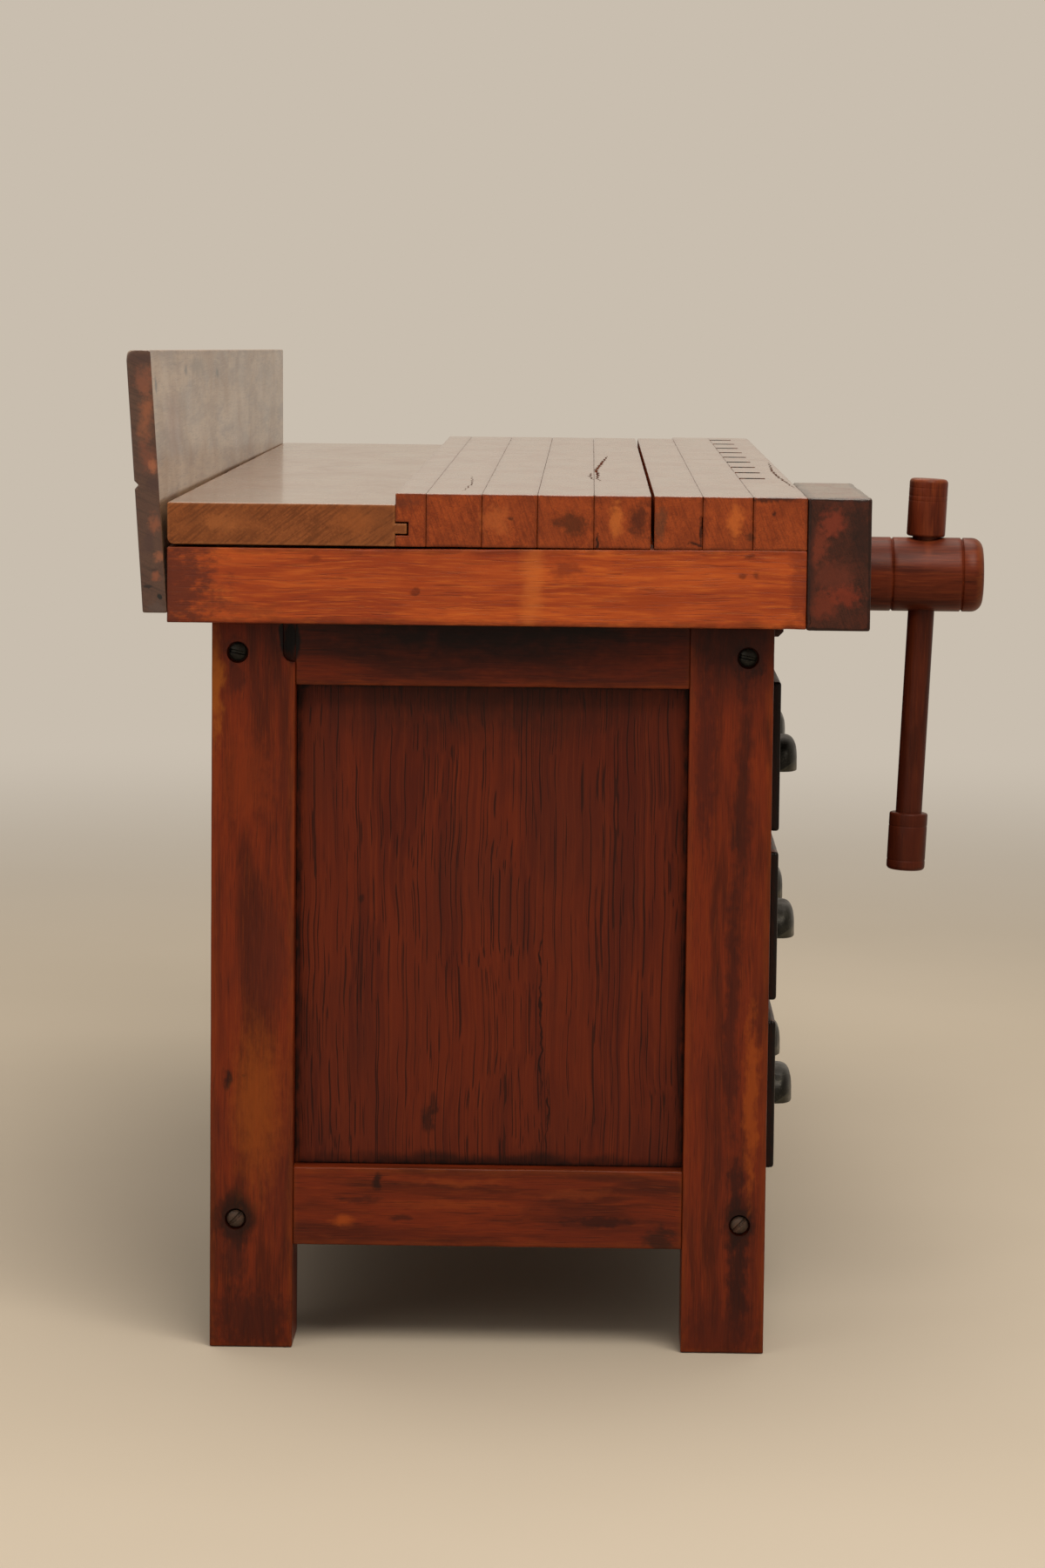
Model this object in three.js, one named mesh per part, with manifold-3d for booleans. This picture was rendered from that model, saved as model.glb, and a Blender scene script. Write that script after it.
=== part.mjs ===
// Cabinetmaker's bench with a front vise, a tail vise, a tool tray and a bank of drawers.
// Millimetres. x runs from the front-vise end along the bench, y from the front edge of the top
// to the back, z up from the floor. At the end the whole bench is centred over the origin.

import * as THREE from 'three';
import { mergeVertices } from 'three/addons/utils/BufferGeometryUtils.js';
import Module from 'manifold-3d';

const wasm = await Module();
wasm.setup();

// Clearances
const SEAT_GAP = 0.3; // a moving piece from the face it rests on
const SLIDE_GAP = 0.5; // a sliding piece in its groove
const TURN_GAP = 0.6; // a turning or sliding round piece in its hole
const CUT_OVER = 2; // how far a cutting shape runs past the face it cuts
const WELD = 1e-3; // corners closer than this are one corner

// Top
const TOP_HEIGHT = 840;
const TOP_LENGTH = 1690;
const SLAB_THICK = 51;
const DOG_STRIP_WIDTH = 100;
const INNER_STRIP_WIDTH = 46;
const STRIP_GAP = 3;
const SLAB_WIDTH = 244;
const TRAY_WIDTH = 218;
const TRAY_THICK = 40;
const TRAY_ROUND = 9;
const TONGUE_LENGTH = 11;
const TONGUE_THICK = 10;
const TONGUE_GAP = 1.5;
const TONGUE_RISE = 12;
const BEARER_HEIGHT = 75;
const BEARER_DEPTH = 100;

// Backboard
const BACKBOARD_THICK = 24;
const BACKBOARD_HEIGHT = 250;
const BACKBOARD_ROUND = 10;
const BACKBOARD_LEAN_NEAR = THREE.MathUtils.degToRad(3.8);
const BACKBOARD_LEAN_FAR = THREE.MathUtils.degToRad(0.4);
const BACKBOARD_RISE_NEAR = 9;
const BACKBOARD_RISE_FAR = -13;

// Dog holes
const DOG_HOLE_LENGTH = 25;
const DOG_HOLE_WIDTH = 27;
const DOG_HOLE_SETBACK = 25;
const DOG_PITCH = 152;
const DOG_FREE_END = 400; // no holes this close to the front-vise end

// Base frame
const BASE_START = 40;
const BASE_LENGTH = 1270;
const BASE_SETBACK = 28;
const LEG_SIZE = 81;
const LONG_RAIL_THICK = 50;
const UPPER_RAIL_HEIGHT = 69;
const LOWER_RAIL_HEIGHT = 78;
const LOWER_RAIL_LIFT = 102;
const END_RAIL_THICK = 40;
const END_RAIL_SETBACK = 3;
const END_TOP_RAIL_HEIGHT = 62;
const END_BOTTOM_RAIL_HEIGHT = 77;
const PANEL_THICK = 15;
const PANEL_SETBACK = 25;
const BOLT_RECESS_RADIUS = 10;
const BOLT_RECESS_DEPTH = 9;
const BOLT_BELOW_LEG_TOP = 31;
const BOLT_ABOVE_FLOOR = 127;

// Drawer case
const DRAWER_COUNT = 3;
const OPENING_WIDTH = 533;
const DIVIDER_HEIGHT = 39;
const DIVIDER_DEPTH = 40;
const CASE_BOARD_THICK = 22;
const CASE_BACK_THICK = 12;
const RUNNER_HEIGHT = 20;
const RUNNER_WIDTH = 20;

// Drawers
const LIP_OVERLAP = 9;
const LIP_THICK = 10;
const FRONT_REBATE = 12;
const DRAWER_SIDE_GAP = 2;
const DRAWER_DEPTH = 430;
const DRAWER_BACK_GAP = 39; // from the drawer box to the back of the case
const DRAWER_SIDE_THICK = 12;
const DRAWER_SIDE_HEIGHT = 110;
const DRAWER_BOTTOM_THICK = 8;
const DRAWER_BOTTOM_LIFT = 8;
const PULL_INSET = 131;
const PULL_DROP = 64;
const PULL_WIDTH = 96;
const PULL_HEIGHT = 33;
const PULL_REACH = 22;
const PULL_WALL = 3;
const PULL_RIM = 5;

// Vise screws and handles, alike on both vises
const HUB_RADIUS = 36.5;
const HUB_LENGTH = 120;
const HUB_ROUND = 11;
const HUB_GROOVE = 1.6;
const HUB_GROOVE_INNER = 30;
const HUB_GROOVE_OUTER = 99;
const HANDLE_HOLE_AT = 62;
const HANDLE_RADIUS = 13;
const HANDLE_SPAN = 275;
const HANDLE_TILT = THREE.MathUtils.degToRad(2.4);
const KNOB_RADIUS = 19;
const KNOB_LENGTH = 57;
const KNOB_ROUND = 4;
const KNOB_BORE_DEPTH = 45;
const THREAD_PITCH = 12.5;
const THREAD_DEPTH = 5;
const THREAD_ENGAGED = 50;
const KEY_THICK = 8;
const KEY_DEPTH = 7; // how far the garter key reaches into the groove of the screw
const KEY_MARGIN = 7; // the key's rim round the full thickness of the screw

// Front vise
const JAW_LENGTH = 341;
const JAW_THICK = 61;
const JAW_HEIGHT = 127;
const FRONT_SCREW_RADIUS = 28.5;
const FRONT_SCREW_BELOW_SLAB = 2.5;
const FRONT_TRAVEL = 200;
const FRONT_NUT_LENGTH = 140;
const FRONT_NUT_DEPTH = 95;
const FRONT_NUT_SETBACK = 17;
const FRONT_NUT_LIP = 14.5;
const FRONT_NUT_CHAMFER = 5;
const GUIDE_SPACING = 104;
const GUIDE_RADIUS = 9.5;
const GUIDE_SOCKET = 40;

// Tail vise
const TAIL_OVERHANG = 50;
const TAIL_LENGTH = 775;
const TAIL_DEPTH = 127;
const TAIL_JAW_THICK = 70;
const TAIL_CHEEK_THICK = 22;
const TAIL_SCREW_RADIUS = 20;
const TAIL_SCREW_DROP = 15;
const TAIL_TRAVEL = 175;
const TAIL_NUT_WIDTH = 115;
const TAIL_TONGUE = 10;
const TAIL_ROUND = 14;

// Facets round a full turn
const ROUND_SIDES = 20;
const THREAD_SIDES = 12;
const THREAD_RINGS = 4; // rings of points in one pitch of a thread
const CORNER_STEPS = 3;

// Places worked out from the sizes
const SLAB_UNDER = TOP_HEIGHT - SLAB_THICK;
const LEG_TOP = SLAB_UNDER - BEARER_HEIGHT;
const SLAB_FRONT = DOG_STRIP_WIDTH + INNER_STRIP_WIDTH + STRIP_GAP;
const SLAB_BACK = SLAB_FRONT + SLAB_WIDTH;
const TOP_BACK = SLAB_BACK + TRAY_WIDTH;
const BASE_END = BASE_START + BASE_LENGTH;
const DRAWER_BOX_FRONT = BASE_SETBACK + FRONT_REBATE;
const DRAWER_BOX_BACK = DRAWER_BOX_FRONT + DRAWER_DEPTH;
const CASE_BACK_FACE = DRAWER_BOX_BACK + DRAWER_BACK_GAP;
const BASE_BACK = CASE_BACK_FACE + CASE_BACK_THICK + LONG_RAIL_THICK;
const INSIDE_START = BASE_START + LEG_SIZE;
const INSIDE_END = BASE_END - LEG_SIZE;
const INSIDE_FRONT = BASE_SETBACK + LEG_SIZE;
const INSIDE_BACK = BASE_BACK - LEG_SIZE;
const LOWER_RAIL_TOP = LOWER_RAIL_LIFT + LOWER_RAIL_HEIGHT;
const UPPER_RAIL_UNDER = LEG_TOP - UPPER_RAIL_HEIGHT;
const FAR_BEARER_START = BASE_END - (LEG_SIZE + BEARER_DEPTH) / 2;
const FAR_BEARER_END = FAR_BEARER_START + BEARER_DEPTH;
const PARTITION_FACE = INSIDE_START + OPENING_WIDTH;
const DIVIDERS = (DRAWER_COUNT - 1) * DIVIDER_HEIGHT;
const OPENING_HEIGHT = (UPPER_RAIL_UNDER - LOWER_RAIL_TOP - DIVIDERS) / DRAWER_COUNT;
const OPENING_STEP = OPENING_HEIGHT + DIVIDER_HEIGHT;
const SCREW_HEIGHT = SLAB_UNDER - FRONT_SCREW_BELOW_SLAB - FRONT_SCREW_RADIUS;
const TAIL_SCREW_HEIGHT = SCREW_HEIGHT - TAIL_SCREW_DROP;
const FRONT_NUT_START = BEARER_DEPTH + SEAT_GAP;
const FRONT_SCREW_X = FRONT_NUT_START + FRONT_NUT_LENGTH / 2;
const TAIL_END = TOP_LENGTH + TAIL_OVERHANG;
const TAIL_START = TAIL_END - TAIL_LENGTH;
const TAIL_SCREW_Y = DOG_HOLE_SETBACK + DOG_HOLE_WIDTH + TAIL_SCREW_RADIUS;

// Finishes
const FINISH = {
  top: { color: 0x8a4a22, roughness: 0.45, metalness: 0 },
  tray: { color: 0x7d4f28, roughness: 0.5, metalness: 0 },
  backboard: { color: 0x4a2a1a, roughness: 0.6, metalness: 0 },
  bearer: { color: 0xa04c1a, roughness: 0.45, metalness: 0 },
  frame: { color: 0x7a3414, roughness: 0.45, metalness: 0 },
  panel: { color: 0x642814, roughness: 0.5, metalness: 0 },
  inside: { color: 0x9a7048, roughness: 0.7, metalness: 0 },
  drawer: { color: 0x6a2c14, roughness: 0.45, metalness: 0 },
  jaw: { color: 0x3a1a10, roughness: 0.45, metalness: 0 },
  turned: { color: 0x5c2412, roughness: 0.4, metalness: 0 },
  iron: { color: 0x201c1a, roughness: 0.55, metalness: 0.8 },
  steel: { color: 0x8a8a88, roughness: 0.35, metalness: 1 },
};

const bench = new THREE.Group();

// Adds one named piece to the bench.
function piece(name, geometry, finish) {
  const mesh = new THREE.Mesh(geometry, new THREE.MeshStandardMaterial(FINISH[finish]));
  mesh.name = name;
  bench.add(mesh);
}

// A box between two corners.
function block(low, high) {
  const size = high.map((value, axis) => value - low[axis]);
  const middle = high.map((value, axis) => (value + low[axis]) / 2);
  return new THREE.BoxGeometry(...size).translate(...middle);
}

// A closed mesh as a solid that can be cut and joined. Points are merged and empty facets left out.
function toSolid(geometry) {
  const plain = geometry.clone();
  plain.deleteAttribute('normal');
  plain.deleteAttribute('uv');
  const merged = mergeVertices(plain, WELD);
  const corners = merged.index.array;
  const kept = [];
  for (let i = 0; i < corners.length; i += 3) {
    const [a, b, c] = [corners[i], corners[i + 1], corners[i + 2]];
    if (a !== b && b !== c && c !== a) kept.push(a, b, c);
  }
  const vertProperties = new Float32Array(merged.attributes.position.array);
  const triVerts = new Uint32Array(kept);
  return new wasm.Manifold(new wasm.Mesh({ numProp: 3, vertProperties, triVerts }));
}

function toGeometry(solid) {
  const mesh = solid.getMesh();
  const geometry = new THREE.BufferGeometry();
  geometry.setAttribute('position', new THREE.BufferAttribute(mesh.vertProperties, 3));
  geometry.setIndex(new THREE.BufferAttribute(mesh.triVerts, 1));
  geometry.computeVertexNormals();
  return geometry;
}

function cut(base, ...tools) {
  return toGeometry(tools.reduce((solid, tool) => solid.subtract(toSolid(tool)), toSolid(base)));
}

function join(base, ...more) {
  return toGeometry(more.reduce((solid, other) => solid.add(toSolid(other)), toSolid(base)));
}

function common(base, ...others) {
  return toGeometry(others.reduce((solid, other) => solid.intersect(toSolid(other)), toSolid(base)));
}

// An outline of corners [a, b] or [a, b, round], where round is the radius of that corner.
function outline(corners) {
  const shape = new THREE.Shape();
  const points = corners.map(([a, b]) => new THREE.Vector2(a, b));
  corners.forEach(([, , round = 0], i) => {
    const here = points[i];
    const before = points[(i + points.length - 1) % points.length];
    const after = points[(i + 1) % points.length];
    const start = here.clone().add(before.clone().sub(here).setLength(round));
    const end = here.clone().add(after.clone().sub(here).setLength(round));
    if (i === 0) shape.moveTo(start.x, start.y);
    else shape.lineTo(start.x, start.y);
    if (round > 0) shape.quadraticCurveTo(here.x, here.y, end.x, end.y);
  });
  shape.closePath();
  return shape;
}

function extrude(shape, depth) {
  return new THREE.ExtrudeGeometry(shape, { depth, bevelEnabled: false, curveSegments: CORNER_STEPS });
}

// Carries an outline of [y, z] corners along x.
function alongX(corners, start, end) {
  const turn = new THREE.Matrix4().makeBasis(
    new THREE.Vector3(0, 1, 0), new THREE.Vector3(0, 0, 1), new THREE.Vector3(1, 0, 0));
  return extrude(outline(corners), end - start).applyMatrix4(turn).translate(start, 0, 0);
}

// Carries an outline of [x, y] corners up z.
function alongZ(corners, start, end) {
  return extrude(outline(corners), end - start).translate(0, 0, start);
}

// A turned piece: [radius, height] corners spun about its own y axis.
function turned(profile, sides = ROUND_SIDES) {
  return new THREE.LatheGeometry(profile.map(([r, h]) => new THREE.Vector2(r, h)), sides);
}

// A plain rod from start to end along its own y axis.
function rod(radius, start, end, sides = ROUND_SIDES) {
  return turned([[0, start], [radius, start], [radius, end], [0, end]], sides);
}

// The corner of a turned piece as an arc, from the side wall to the end face or back.
function turnedCorner(radius, height, round, fromAngle, toAngle) {
  const points = [];
  for (let step = 0; step <= CORNER_STEPS; step += 1) {
    const angle = fromAngle + ((toAngle - fromAngle) * step) / CORNER_STEPS;
    points.push([radius - round + round * Math.cos(angle), height + round * Math.sin(angle)]);
  }
  return points;
}

// Lays a shape made along y down along x, or stands it up along z.
const toX = (geometry) => geometry.rotateZ(-Math.PI / 2);
const toZ = (geometry) => geometry.rotateX(Math.PI / 2);

// Top: two front strips, the slab and the tool tray on two bearers
const dogHole = (x) => block(
  [x - DOG_HOLE_LENGTH / 2, DOG_HOLE_SETBACK, SLAB_UNDER - CUT_OVER],
  [x + DOG_HOLE_LENGTH / 2, DOG_HOLE_SETBACK + DOG_HOLE_WIDTH, TOP_HEIGHT + CUT_OVER]);

function holePlaces(first, step, room) {
  const count = Math.floor(room / Math.abs(step)) + 1;
  return Array.from({ length: count }, (_, i) => first + i * step);
}

const fixedHoles = holePlaces(
  TAIL_START - DOG_PITCH / 2, -DOG_PITCH, TAIL_START - DOG_PITCH / 2 - DOG_FREE_END);
const tailHoles = holePlaces(
  TAIL_START + DOG_PITCH / 2, DOG_PITCH,
  TAIL_LENGTH - DOG_PITCH / 2 - TAIL_JAW_THICK - DOG_HOLE_LENGTH / 2);

piece('front_dog_strip', cut(
  block([0, 0, SLAB_UNDER], [TAIL_START - SEAT_GAP, DOG_STRIP_WIDTH, TOP_HEIGHT]),
  ...fixedHoles.map(dogHole)), 'top');

const tailTongueLow = SLAB_UNDER + (SLAB_THICK - TAIL_TONGUE) / 2;
piece('front_inner_strip', cut(
  block([0, DOG_STRIP_WIDTH, SLAB_UNDER], [TOP_LENGTH, DOG_STRIP_WIDTH + INNER_STRIP_WIDTH, TOP_HEIGHT]),
  block(
    [TAIL_START - SEAT_GAP, DOG_STRIP_WIDTH - CUT_OVER, tailTongueLow - SLIDE_GAP],
    [TOP_LENGTH + CUT_OVER, DOG_STRIP_WIDTH + TAIL_TONGUE + SLIDE_GAP,
      tailTongueLow + TAIL_TONGUE + SLIDE_GAP])), 'top');

const tongueLow = SLAB_UNDER + TONGUE_RISE;
piece('main_slab', alongX([
  [SLAB_FRONT, SLAB_UNDER],
  [SLAB_BACK, SLAB_UNDER],
  [SLAB_BACK, tongueLow - TONGUE_GAP],
  [SLAB_BACK - TONGUE_LENGTH - TONGUE_GAP, tongueLow - TONGUE_GAP],
  [SLAB_BACK - TONGUE_LENGTH - TONGUE_GAP, tongueLow + TONGUE_THICK + TONGUE_GAP],
  [SLAB_BACK, tongueLow + TONGUE_THICK + TONGUE_GAP],
  [SLAB_BACK, TOP_HEIGHT],
  [SLAB_FRONT, TOP_HEIGHT],
], 0, TOP_LENGTH), 'top');

piece('tray_board', alongX([
  [SLAB_BACK, SLAB_UNDER],
  [TOP_BACK, SLAB_UNDER, TRAY_ROUND],
  [TOP_BACK, SLAB_UNDER + TRAY_THICK],
  [SLAB_BACK, SLAB_UNDER + TRAY_THICK],
  [SLAB_BACK, tongueLow + TONGUE_THICK],
  [SLAB_BACK - TONGUE_LENGTH, tongueLow + TONGUE_THICK],
  [SLAB_BACK - TONGUE_LENGTH, tongueLow],
  [SLAB_BACK, tongueLow],
], 0, TOP_LENGTH), 'tray');

piece('near_bearer', block([0, 0, LEG_TOP], [BEARER_DEPTH, TOP_BACK, SLAB_UNDER]), 'bearer');

piece('far_bearer', block(
  [FAR_BEARER_START, TAIL_NUT_WIDTH, LEG_TOP], [FAR_BEARER_END, TOP_BACK, SLAB_UNDER]), 'bearer');

// Backboard: fixed to the bearers' back ends, it stands higher and leans back more at the near end
const boardBack = TOP_BACK + BACKBOARD_THICK;
const boardTop = LEG_TOP + BACKBOARD_HEIGHT;
const backboard = alongX([
  [TOP_BACK, LEG_TOP],
  [boardBack, LEG_TOP],
  [boardBack, boardTop, BACKBOARD_ROUND],
  [TOP_BACK, boardTop],
], 0, TOP_LENGTH);
const boardPoints = backboard.attributes.position;
for (let i = 0; i < boardPoints.count; i += 1) {
  const share = boardPoints.getX(i) / TOP_LENGTH;
  const lean = THREE.MathUtils.lerp(Math.tan(BACKBOARD_LEAN_NEAR), Math.tan(BACKBOARD_LEAN_FAR), share);
  boardPoints.setY(i, boardPoints.getY(i) + lean * (boardPoints.getZ(i) - LEG_TOP));
  boardPoints.setZ(i, boardPoints.getZ(i) + THREE.MathUtils.lerp(BACKBOARD_RISE_NEAR, BACKBOARD_RISE_FAR, share));
}
piece('backboard', backboard, 'backboard');

// Base: two panelled end frames joined by four long rails, with bolts through the legs
const ENDS = [
  { end: 'near', legStart: BASE_START, outward: -1 },
  { end: 'far', legStart: BASE_END - LEG_SIZE, outward: 1 },
];
const SIDES = [
  { side: 'front', legStart: BASE_SETBACK, railStart: BASE_SETBACK },
  { side: 'back', legStart: INSIDE_BACK, railStart: BASE_BACK - LONG_RAIL_THICK },
];

for (const { end, legStart, outward } of ENDS) {
  const legEnd = legStart + LEG_SIZE;
  const outerFace = outward < 0 ? legStart : legEnd;
  // Spans a board from its setback behind the legs' outer face, inwards by its thickness.
  const spanX = (setback, thick) => {
    const faces = [outerFace - outward * setback, outerFace - outward * (setback + thick)];
    return [Math.min(...faces), Math.max(...faces)];
  };
  for (const side of SIDES) {
    const boltY = side.railStart + LONG_RAIL_THICK / 2;
    const recesses = [BOLT_ABOVE_FLOOR, LEG_TOP - BOLT_BELOW_LEG_TOP].map((z) =>
      toX(rod(BOLT_RECESS_RADIUS, -BOLT_RECESS_DEPTH, BOLT_RECESS_DEPTH)).translate(outerFace, boltY, z));
    piece(`${end}_${side.side}_leg`, cut(
      block([legStart, side.legStart, 0], [legEnd, side.legStart + LEG_SIZE, LEG_TOP]),
      ...recesses), 'frame');
  }
  const [railLow, railHigh] = spanX(END_RAIL_SETBACK, END_RAIL_THICK);
  const [panelLow, panelHigh] = spanX(PANEL_SETBACK, PANEL_THICK);
  const bottomRailTop = LOWER_RAIL_LIFT + END_BOTTOM_RAIL_HEIGHT;
  const topRailUnder = LEG_TOP - END_TOP_RAIL_HEIGHT;
  piece(`${end}_end_top_rail`, block(
    [railLow, INSIDE_FRONT, topRailUnder], [railHigh, INSIDE_BACK, LEG_TOP]), 'frame');
  piece(`${end}_end_bottom_rail`, block(
    [railLow, INSIDE_FRONT, LOWER_RAIL_LIFT], [railHigh, INSIDE_BACK, bottomRailTop]), 'frame');
  piece(`${end}_end_panel`, block(
    [panelLow, INSIDE_FRONT, bottomRailTop], [panelHigh, INSIDE_BACK, topRailUnder]), 'panel');
}

for (const { side, railStart } of SIDES) {
  const railEnd = railStart + LONG_RAIL_THICK;
  piece(`${side}_upper_rail`, block(
    [INSIDE_START, railStart, UPPER_RAIL_UNDER], [INSIDE_END, railEnd, LEG_TOP]), 'frame');
  piece(`${side}_lower_rail`, block(
    [INSIDE_START, railStart, LOWER_RAIL_LIFT], [INSIDE_END, railEnd, LOWER_RAIL_TOP]), 'frame');
}

// Drawer case: dividers in front, a runner board behind the end panel, a partition and a back
const openingFloors = Array.from({ length: DRAWER_COUNT }, (_, i) => LOWER_RAIL_TOP + i * OPENING_STEP);
const behindRails = BASE_SETBACK + LONG_RAIL_THICK;

openingFloors.slice(1).forEach((floor, i) => {
  piece(`drawer_divider_${i + 1}`, block(
    [INSIDE_START, BASE_SETBACK, floor - DIVIDER_HEIGHT],
    [PARTITION_FACE, BASE_SETBACK + DIVIDER_DEPTH, floor]), 'frame');
});

const runners = (wall, reach, start, end) => openingFloors.map((floor) => block(
  [Math.min(wall, wall + reach), start, floor - RUNNER_HEIGHT],
  [Math.max(wall, wall + reach), end, floor]));

const runnerBoardWall = INSIDE_START - CASE_BOARD_THICK / 2;
piece('runner_board', join(
  block(
    [INSIDE_START - CASE_BOARD_THICK, INSIDE_FRONT, LOWER_RAIL_LIFT],
    [INSIDE_START, INSIDE_BACK, UPPER_RAIL_UNDER]),
  ...runners(runnerBoardWall, CASE_BOARD_THICK / 2 + RUNNER_WIDTH, INSIDE_FRONT, INSIDE_BACK)), 'inside');

const partitionEnd = PARTITION_FACE + CASE_BOARD_THICK;
piece('partition', join(
  alongX([
    [BASE_SETBACK, LOWER_RAIL_TOP],
    [behindRails, LOWER_RAIL_TOP],
    [behindRails, LOWER_RAIL_LIFT],
    [CASE_BACK_FACE, LOWER_RAIL_LIFT],
    [CASE_BACK_FACE, UPPER_RAIL_UNDER],
    [BASE_SETBACK, UPPER_RAIL_UNDER],
  ], PARTITION_FACE, partitionEnd),
  ...runners(
    partitionEnd - CASE_BOARD_THICK / 2, -(CASE_BOARD_THICK / 2 + RUNNER_WIDTH),
    INSIDE_FRONT, INSIDE_BACK)), 'inside');

piece('case_back', block(
  [INSIDE_START, CASE_BACK_FACE, LOWER_RAIL_LIFT],
  [partitionEnd, CASE_BACK_FACE + CASE_BACK_THICK, LEG_TOP]), 'inside');

// Drawers: a lipped front, a box of two sides and a back, a bottom and two cup pulls
function cupPull() {
  const half = PULL_WIDTH / 2;
  const dome = (inset) => new THREE.SphereGeometry(1, ROUND_SIDES, ROUND_SIDES / 2)
    .scale(half - inset, PULL_REACH - inset, PULL_HEIGHT - inset);
  const room = half + PULL_RIM + CUT_OVER;
  const frontUpper = block([-room, -room, 0], [room, 0, room]);
  const shell = common(cut(dome(0), dome(PULL_WALL)), frontUpper);
  const rim = common(
    new THREE.CylinderGeometry(1, 1, 2 * PULL_WALL, ROUND_SIDES)
      .scale(half + PULL_RIM, 1, PULL_HEIGHT + PULL_RIM),
    frontUpper);
  return join(shell, cut(rim, dome(PULL_WALL)));
}

const leafStart = INSIDE_START - LIP_OVERLAP;
const leafEnd = PARTITION_FACE + LIP_OVERLAP;
const boxStart = INSIDE_START + DRAWER_SIDE_GAP;
const boxEnd = PARTITION_FACE - DRAWER_SIDE_GAP;
const boxInnerStart = boxStart + DRAWER_SIDE_THICK;
const boxInnerEnd = boxEnd - DRAWER_SIDE_THICK;
const boxInnerBack = DRAWER_BOX_BACK - DRAWER_SIDE_THICK;
const lipBack = BASE_SETBACK - SEAT_GAP;
const lipFace = lipBack - LIP_THICK;

openingFloors.forEach((floor, i) => {
  const name = `drawer_${i + 1}`;
  const ceiling = floor + OPENING_HEIGHT;
  const leafTop = ceiling + LIP_OVERLAP;
  piece(`${name}_front`, join(
    block([leafStart, lipFace, floor - LIP_OVERLAP], [leafEnd, lipBack, leafTop]),
    block(
      [boxStart, lipFace + LIP_THICK / 2, floor + DRAWER_SIDE_GAP],
      [boxEnd, DRAWER_BOX_FRONT, ceiling - DRAWER_SIDE_GAP])), 'drawer');
  const sideLow = floor + SEAT_GAP;
  piece(`${name}_box`, alongZ([
    [boxStart, DRAWER_BOX_FRONT],
    [boxInnerStart, DRAWER_BOX_FRONT],
    [boxInnerStart, boxInnerBack],
    [boxInnerEnd, boxInnerBack],
    [boxInnerEnd, DRAWER_BOX_FRONT],
    [boxEnd, DRAWER_BOX_FRONT],
    [boxEnd, DRAWER_BOX_BACK],
    [boxStart, DRAWER_BOX_BACK],
  ], sideLow, sideLow + DRAWER_SIDE_HEIGHT), 'inside');
  const bottomLow = sideLow + DRAWER_BOTTOM_LIFT;
  piece(`${name}_bottom`, block(
    [boxInnerStart, DRAWER_BOX_FRONT, bottomLow],
    [boxInnerEnd, boxInnerBack, bottomLow + DRAWER_BOTTOM_THICK]), 'inside');
  [leafStart + PULL_INSET, leafEnd - PULL_INSET].forEach((x, side) => {
    piece(`${name}_pull_${side + 1}`,
      cupPull().translate(x, lipFace, leafTop - PULL_DROP - PULL_HEIGHT), 'iron');
  });
});

// Vise pieces are made round their own y axis, with zero at the jaw's outer face and the bench beyond

// A right-hand thread: rings of points whose radius follows the winding angle.
function threadedRod(radius, start, end) {
  const rings = Math.round(((end - start) / THREAD_PITCH) * THREAD_RINGS);
  const profile = [[0, start]];
  for (let i = 0; i <= rings; i += 1) profile.push([radius, start + ((end - start) * i) / rings]);
  profile.push([0, end]);
  const geometry = turned(profile, THREAD_SIDES);
  const points = geometry.attributes.position;
  for (let i = 0; i < points.count; i += 1) {
    const [x, y, z] = [points.getX(i), points.getY(i), points.getZ(i)];
    const turns = y / THREAD_PITCH - Math.atan2(x, z) / (2 * Math.PI);
    const wave = Math.abs(2 * (turns - Math.floor(turns)) - 1);
    const share = 1 - (THREAD_DEPTH * wave) / radius;
    points.setXYZ(i, x * share, y, z * share);
  }
  return geometry;
}

// Stands a rod made along y upright as the handle hangs, its foot swung towards the bench.
const hang = (geometry) => toZ(geometry).rotateX(HANDLE_TILT).translate(0, -HANDLE_HOLE_AT, 0);

// Hub, neck through the jaw, groove for the garter key, then the thread to the tip
function viseScrew(radius, jawThick, threadStart, tip) {
  const grooveStart = jawThick - KEY_THICK - SLIDE_GAP;
  const grooveEnd = jawThick + SLIDE_GAP;
  const grooveRadius = radius - KEY_DEPTH;
  const ring = (at) => [
    [HUB_RADIUS, -at - HUB_GROOVE], [HUB_RADIUS - HUB_GROOVE, -at], [HUB_RADIUS, -at + HUB_GROOVE]];
  const shaft = turned([
    [0, -HUB_LENGTH],
    ...turnedCorner(HUB_RADIUS, HUB_ROUND - HUB_LENGTH, HUB_ROUND, -Math.PI / 2, 0),
    ...ring(HUB_GROOVE_OUTER),
    ...ring(HUB_GROOVE_INNER),
    [HUB_RADIUS, -SEAT_GAP],
    [radius, -SEAT_GAP],
    [radius, grooveStart],
    [grooveRadius, grooveStart],
    [grooveRadius, grooveEnd],
    [radius, grooveEnd],
    [radius, threadStart],
    [0, threadStart],
  ]);
  const thread = threadedRod(radius, threadStart - THREAD_PITCH / 2, tip);
  const hole = hang(rod(HANDLE_RADIUS + TURN_GAP, -HUB_RADIUS - HANDLE_RADIUS, HUB_RADIUS + HANDLE_RADIUS));
  return cut(join(shaft, thread), hole);
}

// The bar with its lower knob, and the upper knob that is driven on once the bar is through the hub
const upperKnobLow = HUB_RADIUS / Math.cos(HANDLE_TILT) + KNOB_RADIUS * Math.tan(HANDLE_TILT) + SEAT_GAP;
const upperKnobHigh = upperKnobLow + KNOB_LENGTH;
const lowerKnobHigh = upperKnobLow - HANDLE_SPAN;
const lowerKnobLow = lowerKnobHigh - KNOB_LENGTH;
const boreEnd = upperKnobLow + KNOB_BORE_DEPTH;
const boreRadius = HANDLE_RADIUS + SEAT_GAP;

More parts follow.
